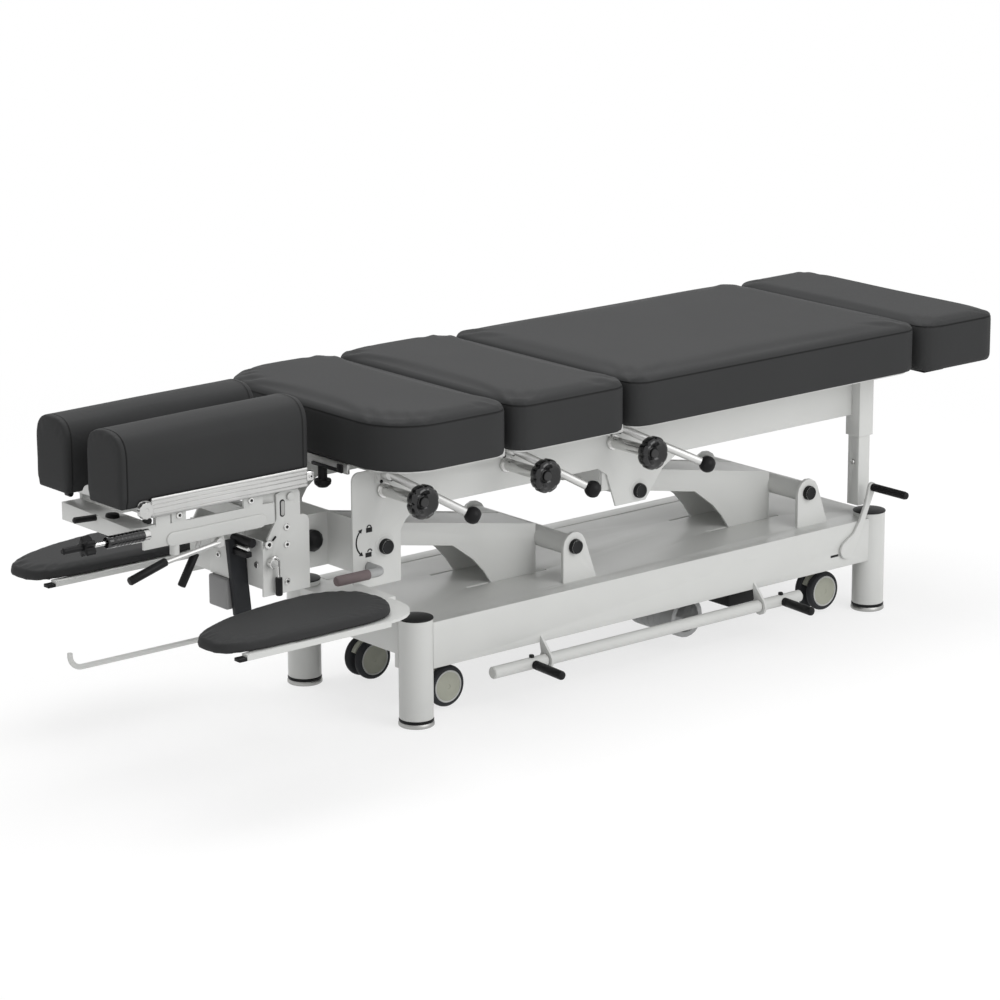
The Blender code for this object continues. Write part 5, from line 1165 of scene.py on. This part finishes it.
# Clamp lever
# A plated hub on the front bracket plate with a bent stalk that hangs down and a black sleeve.
# A fixed bolt and a small black spring sit above it.
clamp_at = joint_at["clamp_turn"]
clamp_y = -0.122
hub, shaft = (
    tube((clamp_at.x, start, clamp_at.z), (clamp_at.x, end, clamp_at.z), radius, soft)
    for start, end, radius, soft in ((-0.1123, -0.1262, 0.009, 0.0012), (-0.1, -0.113, 0.0039, 0.0008))
)
bend_at = (clamp_at.x + 0.002, clamp_at.z + 0.002)
bend_radius = 0.0095
stalk = [(clamp_at.x - 0.002, clamp_at.z + 0.002), *bow(bend_at, bend_radius, 100, 0, 10)]
stalk.append((bend_at[0] + bend_radius, 0.312))
stalk = [Vector((along, clamp_y, height)) for along, height in stalk]
hub = together(hub, shaft, swept(stalk, 0.003))
made("clamp_lever_hub", hub, chrome, "clamp_lever", ["head_clamp_lever"])
sleeve = ((0, 0), (0, 0.0056), (0.001, 0.0064), (0.031, 0.0064), (0.033, 0.0054), (0.0338, 0))
sleeve = spun(sleeve, (stalk[-1].x, clamp_y, 0.318), (0, 0, -1), 32)
made("clamp_lever_sleeve", sleeve, black_plastic, "clamp_lever")
screw(at(-0.862, -0.112, 0.379), (0, -1, 0), 0.0078, 0.005, chrome, "clamp_bolt", "top_frame")
spring = tube(at(-0.853, -0.1135, 0.384), at(-0.845, -0.1135, 0.391), 0.0018)
made("clamp_spring", spring, black_plastic, "top_frame")

# Head column
# A flat black column hangs at the bracket's head end and leans a little, with a grey box behind its foot.
column_black = moulding("column_black", (0.017, 0.018, 0.02), 0.4, 0.0012, "black_metal")
low, high = box_of("head_column")
column = block(low, (high.x, low.y + 0.012, high.z), 0.0014, 3)
for point in column.verts:
    point.co.x += 0.1 * (0.36 - point.co.z) - 0.004
made("head_column_bar", column, column_black, "top_frame", ["head_column"])
dark_grey = powder_coat("dark_grey_paint", "grey", (0.2, 0.2, 0.2), (0.17, 0.17, 0.17))
foot_box = block(at(-0.912, low.y + 0.0125, 0.254), at(-0.88, 0.002, 0.311), 0.004, 4)
made("head_column_box", foot_box, dark_grey, "top_frame")

# Carrier knob
# A black cone knob on the carrier's front face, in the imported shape.
made("carrier_knob_cone", copied("carrier_knob", 0.0012), black_plastic, "carrier_knob", ["carrier_knob"])

# Head release
# One shaft under the front beam with a long and a short arm, each with a black sleeve.
# The arms are swept through their elbows, and the sleeves are turned over their ends.
release_x = joint_at["release_turn"].x
long_y, short_y, release_z = -0.118, -0.06, 0.403
arms = (
    ((0, long_y, release_z), (-0.121, long_y, 0.387), (-0.19, long_y, 0.367)),
    ((0, short_y, release_z), (-0.014, short_y, 0.368), (-0.043, short_y, 0.318)),
)
shapes = [
    tube((release_x, -0.122, release_z), (release_x, -0.114, release_z), 0.0085),
    tube((release_x, long_y, release_z), (release_x, -0.052, release_z), 0.005),
]
for index, arm in enumerate(arms):
    root, elbow, tip = (Vector((release_x + x, y, z)) for x, y, z in arm)
    run = tip - elbow
    shapes.append(swept([root, elbow, elbow + run * 0.5], 0.0046))
    length = run.length * 1.12
    sleeve = (
        (0, 0), (0, 0.0066), (0.0015, 0.0076), (length - 0.003, 0.0076), (length - 0.0008, 0.0062),
        (length, 0),
    )
    sleeve = spun(sleeve, elbow - run * 0.12, run, 32)
    made(f"release_sleeve_{index}", sleeve, black_plastic, "release_lever")
made("release_lever_arms", together(*shapes), satin_steel, "release_lever", ["head_release_lever"])

# Pull handle
# A bent grey bar on the front gusset with a brown-grey rubber sleeve over its long leg.
brown_rubber = moulding("brown_rubber", (0.135, 0.108, 0.11), 0.45, 0.0012, "brown")
pull_at = joint_at["pull_turn"]
low, high = box_of("pull_handle")
bend_radius = 0.014
pull_y = pull_at.y - 0.02
pull_path = [(pull_at.x, high.y)]
pull_path += bow((pull_at.x - bend_radius, pull_y + bend_radius), bend_radius, 0, -90, 8) + [(low.x, pull_y)]
pull_path = [Vector((along, across, pull_at.z)) for along, across in pull_path]
made("pull_handle_bar", swept(pull_path, 0.008, 32), grey_coat, "pull_handle", ["pull_handle"])
sleeve = (
    (0, 0.007), (0, 0.0088), (0.001, 0.0094), (0.069, 0.0094), (0.072, 0.008), (0.073, 0.005), (0.073, 0),
)
sleeve = spun(sleeve, pull_path[-2] - Vector((0.018, 0, 0)), (-1, 0, 0), 36)
made("pull_handle_sleeve", sleeve, brown_rubber, "pull_handle")

# Armrests
# Two long oval pads on swing plates, each with an aluminium rail along its straight edge and a black end cap.
# The pads are puffed from a smooth outline, and their cover is gathered under the tip.
plain_leather = leather_coat("armrest_leather", "Z", ())
pad_knots = (
    (-1.144, 0.062), (-1.143, 0.084), (-1.128, 0.106), (-1.098, 0.126), (-1.058, 0.145), (-1.01, 0.16),
    (-0.955, 0.171), (-0.9, 0.178), (-0.845, 0.179), (-0.8, 0.164), (-0.77, 0.138), (-0.757, 0.104),
    (-0.757, 0.072), (-0.768, 0.04), (-0.792, 0.016), (-0.826, 0.005), (-0.88, 0.001), (-0.94, 0.0),
    (-1.0, 0.0), (-1.055, 0.002), (-1.1, 0.008), (-1.128, 0.021), (-1.141, 0.041),
)
pad_curve = []
for index, here in enumerate(pad_knots):
    before, after, later = (pad_knots[(index + step) % len(pad_knots)] for step in (-1, 1, 2))
    for step in range(4):
        share = step / 4
        pad_curve.append([
            (2 * b + (c - a) * share + (2 * a - 5 * b + 4 * c - d) * share ** 2
             + (3 * b - a - 3 * c + d) * share ** 3) / 2
            for a, b, c, d in zip(before, here, after, later)
        ])
for side_name in ("front", "back"):
    pad_node = "armrest_pad_" + side_name
    plate_node = "armrest_swing_plate_" + side_name
    arm_body = "armrest_" + side_name
    low, high = box_of(pad_node)
    outline = [(home_x + x, low.y + 0.0008 + y) for x, y in pad_curve]
    cover = plate(outline, "z", low.z + 0.0003, high.z - 0.0022, 0)
    rim_rounded(cover, high.z - 0.0022, 0.0075, 4)
    rim_rounded(cover, low.z + 0.0003, 0.003, 2)
    for point in cover.verts:
        tip_share = min(max((home_x - 1.05 - point.co.x) / 0.04, 0), 1)
        if point.co.z < low.z + 0.005 and tip_share:
            around = math.atan2(point.co.y - low.y - 0.07, point.co.x - home_x + 1.05)
            point.co.z -= tip_share * 0.0022 * (0.5 + 0.5 * math.sin(26 * around))

    def rest_held(point, low_z=low.z):
        return point.z < low_z + 0.005

    upholstered(pad_node, cover, 0.004, arm_body, rest_held, (0.001, 0.001, 0.0024), plain_leather)
    swing_plate = copied(plate_node, 0.0008)
    low, high = box_of(plate_node)
    for point in swing_plate.verts:
        if point.co.z < low.z + 0.0012:
            point.co.z += 0.0062
    made(plate_node + "_sheet", swing_plate, white_coat, arm_body, [plate_node])
    cap = block(low + Vector((-0.016, 0.0004, 0.0058)), low + Vector((0.0005, 0.0165, 0.0122)), 0.0012, 3)
    made(plate_node + "_cap", cap, black_plastic, arm_body)
